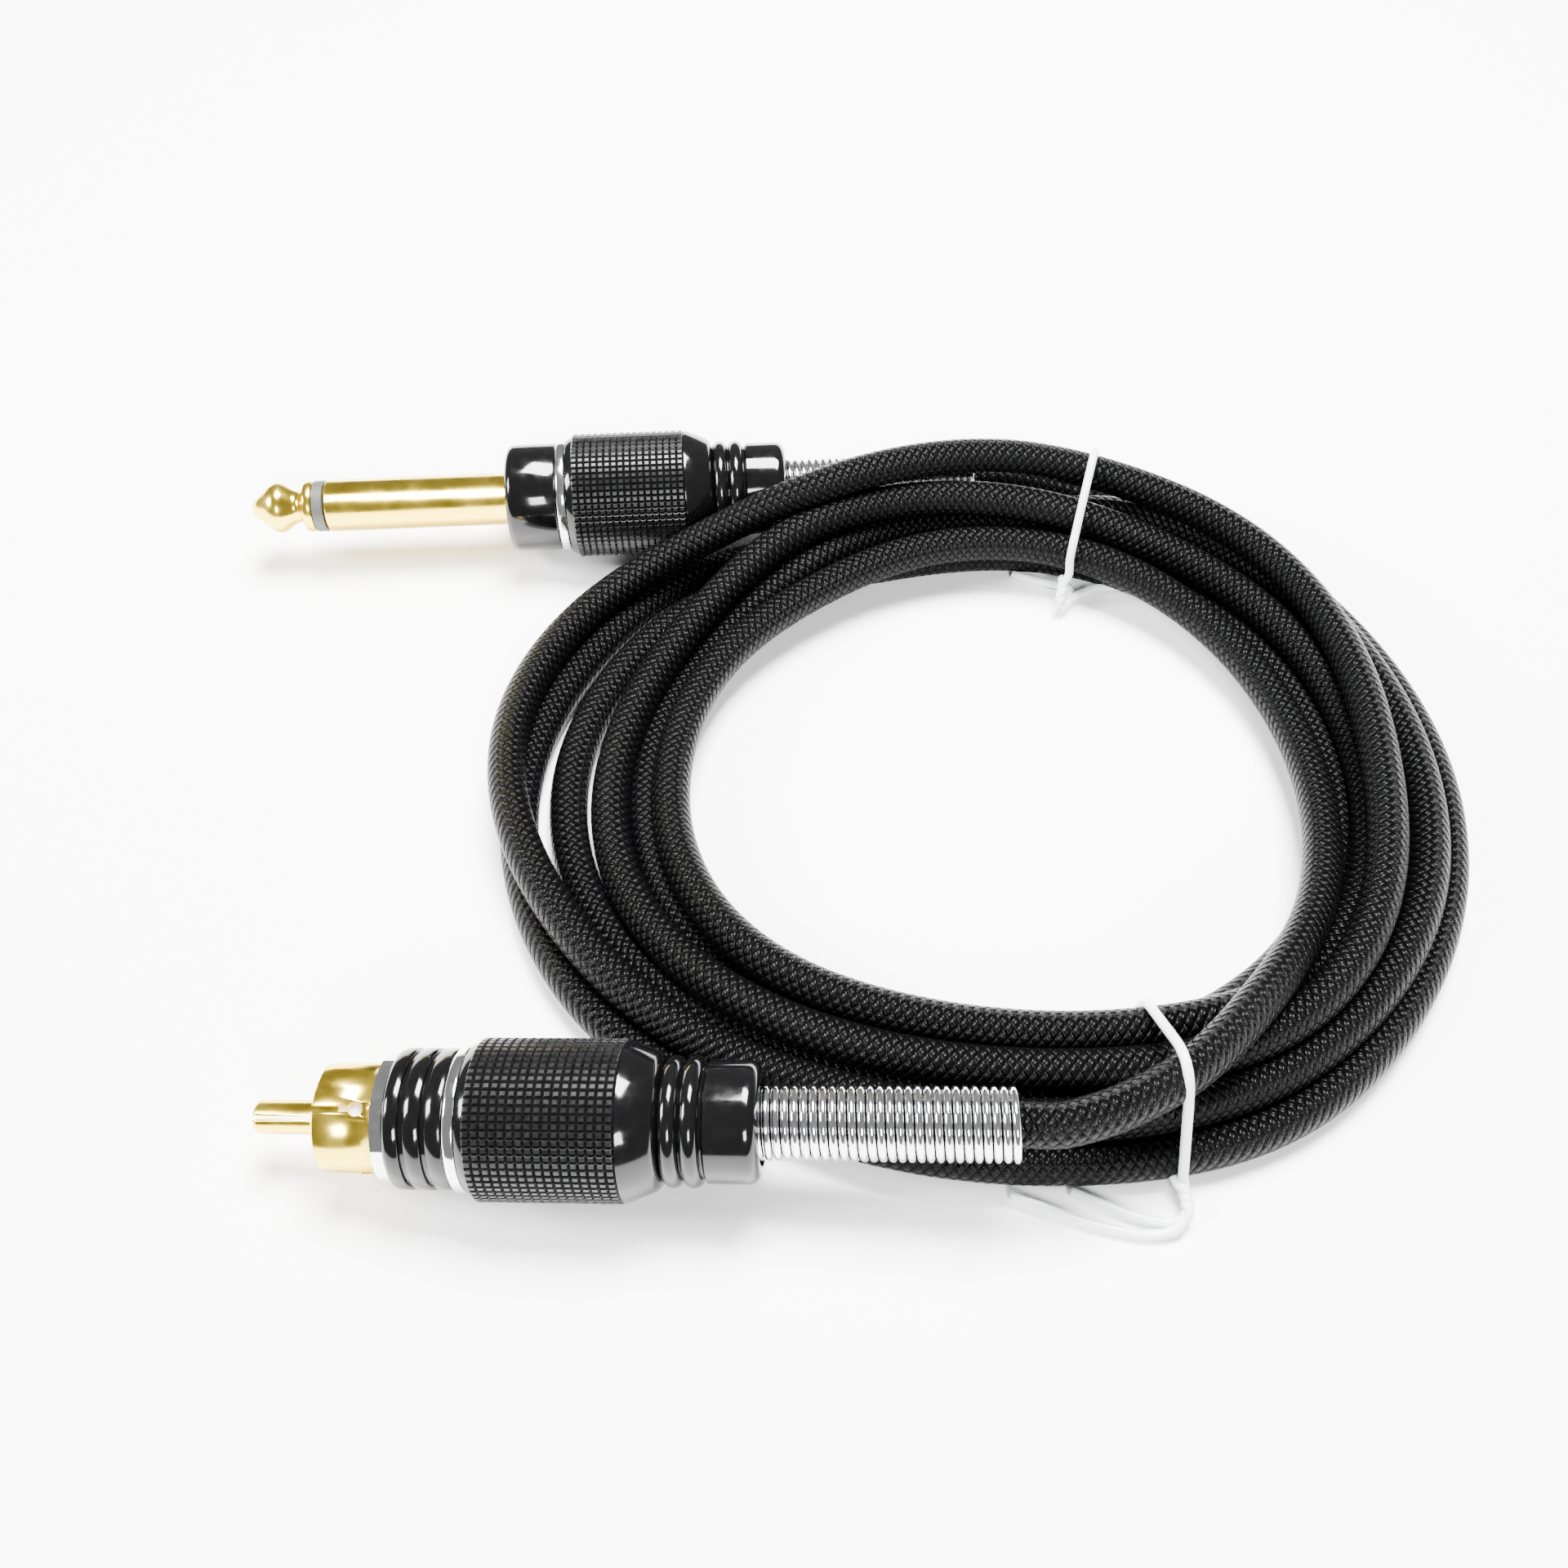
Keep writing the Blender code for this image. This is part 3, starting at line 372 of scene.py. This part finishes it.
def math_node(tree, operation, a, b=None, c=None):
    """One Math node: its inputs are numbers or other nodes' outputs."""
    node = tree.nodes.new("ShaderNodeMath")
    node.operation = operation
    for socket, value in zip(node.inputs, (a, b, c)):
        if value is None:
            continue
        if isinstance(value, (int, float)):
            socket.default_value = value
        else:
            tree.links.new(value, socket)
    return node.outputs[0]


def yarn_crown(tree, across):
    """Height across a yarn: nothing at its edges and 1 at its middle."""
    turn = math_node(tree, "MULTIPLY", math_node(tree, "FRACT", across), math.pi)
    return math_node(tree, "SINE", turn)


def woven_nylon():
    """Flat black yarns that run round the cord on the slant both ways, over and under."""
    yarns_each_way = 8
    pick = 1.07 * MM
    strands_in_a_yarn = 4
    material, tree, shader = start_material("braided_jacket", (0.012, 0.012, 0.013), 0.0, 0.34)
    shader.inputs["Specular IOR Level"].default_value = 0.075
    place = tree.nodes.new("ShaderNodeUVMap")
    place.uv_map = "UVMap"
    split = tree.nodes.new("ShaderNodeSeparateXYZ")
    tree.links.new(place.outputs["UV"], split.inputs[0])
    run = math_node(tree, "DIVIDE", split.outputs["X"], pick)
    girth = math_node(tree, "MULTIPLY", split.outputs["Y"], float(yarns_each_way))
    one = math_node(tree, "ADD", run, girth)
    other = math_node(tree, "SUBTRACT", run, girth)
    crown_one = yarn_crown(tree, one)
    crown_other = yarn_crown(tree, other)
    steps = math_node(tree, "ADD", math_node(tree, "FLOOR", one), math_node(tree, "FLOOR", other))
    over = math_node(tree, "FLOORED_MODULO", steps, 2.0)
    under = math_node(tree, "SUBTRACT", 1.0, over)
    round_one = math_node(tree, "POWER", crown_one, 0.6)
    round_other = math_node(tree, "POWER", crown_other, 0.6)
    lift_one = math_node(tree, "MULTIPLY", round_one, math_node(tree, "POWER", crown_other, 0.35))
    lift_other = math_node(tree, "MULTIPLY", round_other, math_node(tree, "POWER", crown_one, 0.35))
    height = math_node(tree, "ADD", math_node(tree, "MULTIPLY", lift_one, over),
                       math_node(tree, "MULTIPLY", lift_other, under))
    grain = 2 * math.pi * strands_in_a_yarn
    strand_one = math_node(tree, "SINE", math_node(tree, "MULTIPLY", one, grain))
    strand_other = math_node(tree, "SINE", math_node(tree, "MULTIPLY", other, grain))
    strands = math_node(tree, "ADD", math_node(tree, "MULTIPLY", strand_one, over),
                        math_node(tree, "MULTIPLY", strand_other, under))
    relief = math_node(tree, "MULTIPLY_ADD", strands, 0.06, height)
    bump = tree.nodes.new("ShaderNodeBump")
    bump.inputs["Strength"].default_value = 0.9
    bump.inputs["Distance"].default_value = 0.34 * MM
    tree.links.new(relief, bump.inputs["Height"])
    tree.links.new(bump.outputs["Normal"], shader.inputs["Normal"])
    # Painted shade: the base colour is darker where the yarns dip under and between them, and lighter
    # on their crowns.
    two_toned(tree, shader, height, (0.0002, 0.0002, 0.0002), (0.0014, 0.0014, 0.0015))
    rough = math_node(tree, "MULTIPLY_ADD", height, -0.16, 0.42)
    tree.links.new(rough, shader.inputs["Roughness"])
    return material


settled = settle(wound_route())
inside_a_plug = np.arange(CORD_START, 37.0, POINT_SPACING)
inside_jack = [on_axis(JACK, along) for along in inside_a_plug]
inside_rca = [on_axis(RCA, along) for along in inside_a_plug][::-1]
cord_line = smooth_line(np.vstack([inside_jack, settled, inside_rca]), 1.5)
cord = tube("cord_braid", cord_line, round_section(CORD_DIAMETER, CORD_DIAMETER, 20), woven_nylon())
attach(cord, "cord_and_cores")
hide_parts("cord_coil", "cord_lead_ts", "cord_lead_rca")


# ---- barrels ----
# Each plug has the same turned brass barrel, black all over: a grip with a fine
# square knurl, a short cone, two rounded beads and a plain tail. It screws on.
KNURL_ROUND = 64
KNURL_ROWS = 17


def arc(centre, radius, start, end, count):
    """Points on a round corner of a profile, by angle from the radial direction."""
    angles = [math.radians(start + (end - start) * i / count) for i in range(count + 1)]
    return [(centre[0] + radius * math.cos(a), centre[1] + radius * math.sin(a)) for a in angles]


def spun(profile, steps, closed=True):
    """A profile of (radius, distance along the axis) in millimetres, turned about the axis."""
    bm = bmesh.new()
    points = [bm.verts.new((radius * MM, 0.0, along * MM)) for radius, along in profile]
    edges = [bm.edges.new(pair) for pair in zip(points, points[1:])]
    if closed:
        edges.append(bm.edges.new((points[-1], points[0])))
    bmesh.ops.spin(bm, geom=points + edges, cent=(0.0, 0.0, 0.0), axis=(0.0, 0.0, 1.0),
                   dvec=(0.0, 0.0, 0.0), angle=2 * math.pi, steps=steps, use_merge=True)
    bmesh.ops.remove_doubles(bm, verts=bm.verts, dist=1e-6)
    bmesh.ops.recalc_face_normals(bm, faces=bm.faces)
    return bm


def finished(name, bm, place, materials, body, node, smooth=42.0):
    """Puts a piece on its plug, ties it to its body, gives it its finish and hides the CAD node it
    stands for.
    """
    bmesh.ops.transform(bm, matrix=place, verts=bm.verts)
    mesh = bpy.data.meshes.new(name)
    bm.to_mesh(mesh)
    bm.free()
    for material in materials:
        mesh.materials.append(material)
    mesh.shade_smooth()
    mesh.set_sharp_from_angle(angle=math.radians(smooth))
    item = bpy.data.objects.new(name, mesh)
    bpy.context.scene.collection.objects.link(item)
    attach(item, body)
    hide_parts(node)
    return item


def mottle(tree, shader, scale, low, high, bump=0.0):
    """Varies a surface's roughness a little, with a faint relief if asked."""
    place = tree.nodes.new("ShaderNodeTexCoord")
    noise = tree.nodes.new("ShaderNodeTexNoise")
    noise.inputs["Scale"].default_value = scale
    noise.inputs["Detail"].default_value = 5.0
    tree.links.new(place.outputs["Object"], noise.inputs["Vector"])
    span = tree.nodes.new("ShaderNodeMapRange")
    span.inputs["From Min"].default_value = 0.3
    span.inputs["From Max"].default_value = 0.7
    span.inputs["To Min"].default_value = low
    span.inputs["To Max"].default_value = high
    tree.links.new(noise.outputs["Fac"], span.inputs["Value"])
    tree.links.new(span.outputs["Result"], shader.inputs["Roughness"])
    if bump:
        relief = tree.nodes.new("ShaderNodeBump")
        relief.inputs["Strength"].default_value = bump
        relief.inputs["Distance"].default_value = 0.02 * MM
        tree.links.new(noise.outputs["Fac"], relief.inputs["Height"])
        tree.links.new(relief.outputs["Normal"], shader.inputs["Normal"])
    return noise


def gloss_black():
    """Smooth black enamel on the turned parts."""
    material, tree, shader = start_material("gloss_black", (0.010, 0.010, 0.011), 0.0, 0.10)
    shader.inputs["Specular IOR Level"].default_value = 0.35
    shader.inputs["Coat Weight"].default_value = 0.15
    shader.inputs["Coat Roughness"].default_value = 0.05
    noise = mottle(tree, shader, 900.0, 0.07, 0.15, 0.08)
    two_toned(tree, shader, noise.outputs["Fac"], (0.0010, 0.0010, 0.0011), (0.0022, 0.0022, 0.0024))
    return material


def knurled_black():
    """The same black over the knurl, where it is duller."""
    material, tree, shader = start_material("knurled_black", (0.014, 0.014, 0.015), 0.0, 0.30)
    shader.inputs["Specular IOR Level"].default_value = 0.3
    noise = mottle(tree, shader, 1600.0, 0.24, 0.38, 0.15)
    two_toned(tree, shader, noise.outputs["Fac"], (0.0012, 0.0012, 0.0013), (0.0030, 0.0030, 0.0032))
    return material


GLOSS_BLACK = gloss_black()
KNURLED_BLACK = knurled_black()


def barrel_profile():
    """Outer surface from the front edge to the tail, then back up the bore."""
    grip, base = 7.5, 7.24
    knurl_start, knurl_end = 0.75, 14.35
    profile = [(6.6, 0.0), (6.9, 0.0), (7.12, 0.35), (base, knurl_start)]
    rows = [knurl_start + (knurl_end - knurl_start) * i / KNURL_ROWS for i in range(KNURL_ROWS + 1)]
    profile += [(base, along) for along in rows[1:]]
    profile += [(grip - 0.1, 14.45), (grip - 0.14, 14.75)]
    profile += [(6.35, 17.2), (6.0, 17.55), (5.5, 17.75)]
    bead_round = 0.95
    for bead in range(2):
        start = 17.8 + bead * 1.9
        profile += arc((5.05, start + bead_round), bead_round, -80.0, 80.0, 8)
    profile += [(5.25, 21.75), (5.6, 22.0), (5.6, 25.4)]
    profile += arc((4.4, 25.6), 1.2, 10.0, 90.0, 6)
    profile += [(4.05, 26.8), (3.75, 26.5), (3.75, 25.3), (4.0, 25.2), (4.0, 17.0),
                (5.0, 16.9), (5.0, 5.9), (5.75, 5.8), (5.75, 0.2)]
    return profile


def barrel(name, place, body, node):
    """A turned barrel whose grip is cut into small raised squares."""
    bm = spun(barrel_profile(), KNURL_ROUND)
    teeth = []
    for face in bm.faces:
        middle = face.calc_center_median() / MM
        radius = math.hypot(middle.x, middle.y)
        if radius > 7.1 and 0.8 < middle.z < 14.3:
            teeth.append(face)
            face.material_index = 1
    inner = bmesh.ops.inset_individual(bm, faces=teeth, thickness=0.17 * MM, depth=0.26 * MM,
                                       use_even_offset=True)
    for face in inner["faces"]:
        face.material_index = 1
    finished(name, bm, place, [GLOSS_BLACK, KNURLED_BLACK], body, node, 38.0)


barrel("ts_shell_turned", JACK, "ts_shell", "ts_barrel")
barrel("rca_shell_turned", RCA, "rca_shell", "rca_barrel")


# ---- springs ----
# A close-wound spring of bright 0.8 mm wire stands in the tail of each barrel
# round the cord, and keeps the cord from bending sharply where it leaves.
def bright_metal(name, colour, low, high):
    """Plated metal whose roughness drifts between two values."""
    material, tree, shader = start_material(name, colour, 1.0, low)
    noise = mottle(tree, shader, 1200.0, low, high, 0.1)
    dark = tuple(0.94 * value for value in colour)
    two_toned(tree, shader, noise.outputs["Fac"], dark, colour)
    return material


CHROME = bright_metal("chrome", (0.86, 0.86, 0.87), 0.06, 0.13)
NICKEL = bright_metal("nickel_plate", (0.74, 0.73, 0.70), 0.18, 0.30)


def spring(name, place, body, node):
    """The wire's round section, screwed along the axis."""
    wire, outer, pitch, start, end = 0.8, 7.0, 0.86, 23.4, 49.9
    turns = (end - start) / pitch
    steps = int(turns * 28)
    bm = bmesh.new()
    ring = bmesh.ops.create_circle(bm, cap_ends=False, radius=wire / 2 * MM, segments=10)
    across = Matrix.Rotation(math.pi / 2, 4, "X")
    lay = Matrix.Translation(((outer - wire) / 2 * MM, 0.0, start * MM)) @ across
    bmesh.ops.transform(bm, matrix=lay, verts=ring["verts"])
    bmesh.ops.spin(bm, geom=bm.verts[:] + bm.edges[:], cent=(0.0, 0.0, 0.0), axis=(0.0, 0.0, 1.0),
                   dvec=(0.0, 0.0, (end - start) / steps * MM), angle=2 * math.pi * turns, steps=steps)
    bmesh.ops.holes_fill(bm, edges=[edge for edge in bm.edges if edge.is_boundary], sides=12)
    bmesh.ops.recalc_face_normals(bm, faces=bm.faces)
    finished(name, bm, place, [CHROME], body, node, 60.0)


spring("ts_spring_wound", JACK, "ts_relief", "ts_spring")
spring("rca_spring_wound", RCA, "rca_relief", "rca_spring")


# ---- collars, rings and threaded bodies ----
# Ahead of each barrel: a bright ring, then a gloss black collar. The nickel body
# behind them carries the fine thread that the barrel screws onto.
def softened(profile, radius, count=3):
    """A closed profile with every corner rounded a little."""
    points = [Vector(point) for point in profile]
    result = []
    for i, corner in enumerate(points):
        before = points[i - 1] - corner
        after = points[(i + 1) % len(points)] - corner
        cut = min(radius, before.length * 0.45, after.length * 0.45)
        start = corner + before.normalized() * cut
        end = corner + after.normalized() * cut
        for step in range(count + 1):
            t = step / count
            result.append(tuple((1 - t) ** 2 * start + 2 * t * (1 - t) * corner + t * t * end))
    return result


def ring_profile(outer, bore, front, back):
    """The square section of a plain ring, from its diameters and its two ends."""
    return [(outer / 2, front), (outer / 2, back), (bore / 2, back), (bore / 2, front)]


for name, place, node in (("ts_ring_turned", JACK, "ts_trim_ring"),
                          ("rca_ring_turned", RCA, "rca_trim_ring")):
    bm = spun(softened(ring_profile(13.5, 10.2, -1.2, -0.1), 0.25), 96)
    finished(name, bm, place, [CHROME], "cord_and_cores", node, 60.0)

jack_collar_front = -7.45
collar_back_and_bore = [(6.5, -1.5), (6.38, -1.3), (5.1, -1.3), (5.1, -6.15), (3.5, -6.15)]
collar_profile = [(3.5, jack_collar_front), (5.5, jack_collar_front)]
collar_profile += arc((5.5, -6.45), 1.0, -90.0, 0.0, 6)[1:]
collar_profile += collar_back_and_bore
bm = spun(collar_profile, 96)
finished("ts_collar_turned", bm, JACK, [GLOSS_BLACK], "cord_and_cores", "ts_collar",
         60.0)

groove_profile = [(3.5, -6.85), (6.1, -6.85), (6.35, -6.75), (6.5, -6.45)]
for middle_of_groove in (-5.1, -3.1):
    groove_profile += [(6.5, middle_of_groove - 0.34), (6.4, middle_of_groove - 0.25),
                       (6.15, middle_of_groove - 0.2), (6.15, middle_of_groove + 0.2),
                       (6.4, middle_of_groove + 0.25), (6.5, middle_of_groove + 0.34)]
groove_profile += collar_back_and_bore
bm = spun(groove_profile, 96)
finished("rca_collar_turned", bm, RCA, [GLOSS_BLACK], "cord_and_cores", "rca_collar",
         60.0)


def threaded_body(name, place, node):
    """The nickel body: a plain front and spigot, and a nipple with a 0.75 mm thread."""
    pitch, crest, root = 0.75, 5.6, 5.25
    profile = [(2.35, -6.15), (5.0, -6.15), (5.0, 0.0), (root, 0.0)]
    for turn in range(7):
        start = 0.2 + turn * pitch
        profile += [(root, start), (crest, start + 0.25), (crest, start + 0.4), (root, start + 0.65)]
    profile += [(root, 5.8), (3.4, 5.8), (3.4, 7.2), (2.35, 7.2)]
    bm = spun(profile, 72)
    finished(name, bm, place, [NICKEL], "cord_and_cores", node, 30.0)


threaded_body("ts_body_turned", JACK, "ts_body")
threaded_body("rca_body_turned", RCA, "rca_body")


# ---- gold contacts ----
# The jack's ball tip, dark ring and sleeve, and the RCA's split pin and slotted
# ground ring round its white insulator. The contacts are turned brass, gold-plated.
def gold_plate():
    """Thin bright gold over turned brass."""
    material, tree, shader = start_material("gold_plate", (0.95, 0.68, 0.28), 1.0, 0.16)
    noise = mottle(tree, shader, 420.0, 0.12, 0.24, 0.1)
    two_toned(tree, shader, noise.outputs["Fac"], (0.90, 0.63, 0.05), (1.00, 0.76, 0.10))
    return material


def moulded(name, colour, rough):
    """Plain moulded plastic, a little uneven in gloss and shade."""
    material, tree, shader = start_material(name, colour, 0.0, rough)
    noise = mottle(tree, shader, 800.0, rough - 0.06, rough + 0.08, 0.25)
    dark = tuple(0.9 * value for value in colour)
    two_toned(tree, shader, noise.outputs["Fac"], dark, colour)
    return material


GOLD = gold_plate()
DARK_RING = moulded("grey_insulator", (0.05, 0.05, 0.05), 0.4)
WHITE_DISC = moulded("white_insulator", (0.82, 0.82, 0.80), 0.45)

jack_length, tip_length, ring_width, fit = 31.75, 7.7, 1.3, 0.1
tip_end = jack_collar_front - jack_length
ring_front = tip_end + tip_length + fit
sleeve_front = ring_front + ring_width + fit
sleeve_profile = [(2.3, -6.25), (2.3, sleeve_front), (2.95, sleeve_front),
                  (3.175, sleeve_front + 0.35), (3.175, -7.6), (3.35, jack_collar_front),
                  (3.35, -6.25)]
bm = spun(sleeve_profile, 96)
finished("ts_sleeve_turned", bm, JACK, [GOLD], "cord_and_cores", "ts_sleeve", 60.0)

tip_profile = [(0.0, tip_end), (0.7, tip_end + 0.02), (1.0, tip_end + 0.16)]
tip_profile += [(1.62, tip_end + 0.95), (2.55, tip_end + 2.05), (2.9, tip_end + 2.6),
                (3.03, tip_end + 3.05), (3.05, tip_end + 3.4), (2.98, tip_end + 3.75),
                (2.75, tip_end + 4.2), (2.2, tip_end + 5.0), (1.98, tip_end + 5.35),
                (1.95, tip_end + 5.7), (2.1, tip_end + 6.05), (2.55, tip_end + 6.45),
                (2.95, tip_end + 6.65), (3.05, tip_end + 6.8), (3.05, tip_end + 7.6),
                (2.95, tip_end + tip_length), (1.1, tip_end + tip_length), (1.1, 8.6), (0.0, 8.6)]
bm = spun(tip_profile, 96, closed=False)
finished("ts_tip_turned", bm, JACK, [GOLD], "cord_and_cores", "ts_tip", 50.0)

ring_back = ring_front + ring_width
ring_profile_with_tube = [(3.0, ring_front), (3.12, ring_front + 0.12), (3.12, ring_back - 0.12),
                          (3.0, ring_back), (2.2, ring_back), (2.2, 7.3), (1.2, 7.3),
                          (1.2, ring_front)]
bm = spun(ring_profile_with_tube, 96)
finished("ts_tip_ring_turned", bm, JACK, [DARK_RING], "cord_and_cores", "ts_tip_insulator")


def smoothed(name, node, material):
    """A CAD node's own shape, welded and shaded smooth, in a finish of its own."""
    bm = bmesh.new()
    bm.from_mesh(frame["nodes"][node].data)
    bmesh.ops.remove_doubles(bm, verts=bm.verts, dist=1e-6)
    finished(name, bm, Matrix.Identity(4), [material], "cord_and_cores", node, 35.0)


smoothed("rca_ground_ring", "rca_ground_shell", GOLD)
smoothed("rca_split_pin", "rca_pin", GOLD)
smoothed("rca_disc", "rca_insulator", WHITE_DISC)
smoothed("rca_washer", "rca_flange", CHROME)


# ---- ties ----
# Two plastic-covered wires, milky clear, each bent once round the whole bundle,
# its ends twisted together beside it and left loose.
def milky_plastic():
    """Milky plastic that lets some light through."""
    material, tree, shader = start_material("clear_sleeve", (0.86, 0.88, 0.88), 0.0, 0.14)
    shader.inputs["Transmission Weight"].default_value = 0.25
    shader.inputs["IOR"].default_value = 1.45
    noise = mottle(tree, shader, 700.0, 0.10, 0.22, 0.15)
    two_toned(tree, shader, noise.outputs["Fac"], (0.78, 0.80, 0.81), (0.90, 0.91, 0.91))
    return material


MILKY = milky_plastic()


def bundle_section(middle, out):
    """Where the cord's turns cross an upright plane: (distance outwards, height) rows."""
    flat = cord_line - middle
    across = flat @ np.cross([0.0, 0.0, 1.0], out)
    along = flat @ out
    bundle_reach = 16.0
    near = np.abs(along[:-1]) < bundle_reach
    cross = np.where((across[:-1] * across[1:] <= 0) & near)[0]
    return [(float(along[i]), float(cord_line[i, 2])) for i in cross]


def hull(points):
    """The convex outline of flat points, counter-clockwise."""
    points = sorted(set(points))
    halves = []
    for order in (points, points[::-1]):
        half = []
        for p in order:
            while len(half) > 1:
                a, b = half[-2], half[-1]
                if (b[0] - a[0]) * (p[1] - a[1]) - (b[1] - a[1]) * (p[0] - a[0]) > 0:
                    break
                half.pop()
            half.append(p)
        halves += half[:-1]
    return halves


def tie(name, middle, angle, knot_side, ends, node):
    """A wire drawn tight round the turns in an upright plane, twisted, with its ends loose."""
    wire = 1.0
    clear = 0.02
    twist_radius, twist_length, twist_turns = 0.66, 2.4, 1.5
    twist_gap, twist_height, twist_end_height = 0.9, 1.9, 1.5
    sides, steps = 24, 24
    reach = CORD_DIAMETER / 2 + wire / 2 + 0.05
    middle = np.array([*middle, 0.0])
    out = np.array([math.cos(angle), math.sin(angle), 0.0])
    ring = []
    for along, height in bundle_section(middle, out):
        for i in range(sides):
            turn = 2 * math.pi * i / sides
            low = max(height + reach * math.sin(turn), wire / 2 + clear)
            ring.append((round(along + reach * math.cos(turn), 4), round(low, 4)))
    outline = hull(ring)
    knot_index = max(range(len(outline)), key=lambda i: knot_side * outline[i][0] - 0.6 * outline[i][1])
    outline = outline[knot_index:] + outline[:knot_index]
    loop = [middle + out * along + np.array([0.0, 0.0, height]) for along, height in outline]
    knot = loop[0] + out * knot_side * twist_gap
    knot[2] = max(knot[2], twist_height)
    knot_end = knot + out * knot_side * twist_length
    knot_end[2] = twist_end_height
    side = np.cross(out, [0.0, 0.0, 1.0])
    up = np.array([0.0, 0.0, 1.0])

    def strand(phase):
        rows = []
        for i in range(steps + 1):
            turn = phase + 2 * twist_turns * math.pi * i / steps
            offset = twist_radius * (side * math.cos(turn) + up * math.sin(turn))
            rows.append(knot + (knot_end - knot) * i / steps + offset)
        return rows

    route = [np.array(row) for row in ends[0]] + strand(math.pi)[::-1] + loop[1:-1] + strand(0.0)
    route += [np.array(row) for row in ends[1]]
    line = evenly(np.array(route), 1.0)[0]
    for _ in range(2):
        line[1:-1] = (line[:-2] + 2 * line[1:-1] + line[2:]) / 4
    line[:, 2] = np.maximum(line[:, 2], wire / 2 + clear)
    item = tube(name, smooth_line(line, 0.6), round_section(wire, wire, 12), MILKY)
    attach(item, "cord_and_cores")
    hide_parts(node)
    return item


front_ends = (((43.0, -47.2, 0.6), (49.9, -50.0, 0.6), (55.1, -51.2, 0.6), (58.8, -50.8, 0.9)),
              ((58.0, -50.2, 0.8), (54.6, -49.4, 0.6), (48.7, -46.8, 0.6)))
back_ends = (((49.6, 35.4, 0.6), (53.8, 33.6, 0.6), (57.0, 33.0, 0.8)),
             ((59.4, 32.9, 0.7), (63.9, 33.0, 0.6), (68.2, 30.6, 0.6)))
front_tie = tie("tie_front_wire", (57.8, -38.0), math.radians(-82), 1, front_ends, "tie_front")
back_tie = tie("tie_back_wire", (58.6, 42.0), math.radians(74), -1, back_ends, "tie_back")


# ---- inside the plugs ----
# Out of sight: the jack's solder lug, the ground clamps pressed round the cord, the
# clear insulating sleeves, the white core wires and the gathered copper shield.
CLEAR_SLEEVE = moulded("insulating_sleeve", (0.80, 0.82, 0.82), 0.25)
COPPER = bright_metal("bare_copper", (0.78, 0.40, 0.25), 0.25, 0.4)
inner_finishes = {
    "tip_terminal": NICKEL,
    "ground_clamp": NICKEL,
    "insulating_sleeve": CLEAR_SLEEVE,
    "core_wire": WHITE_DISC,
    "shield_pigtail": COPPER,
}
for node, item in frame["nodes"].items():
    for ending, material in inner_finishes.items():
        if node.endswith(ending):
            item.data.materials.clear()
            item.data.materials.append(material)
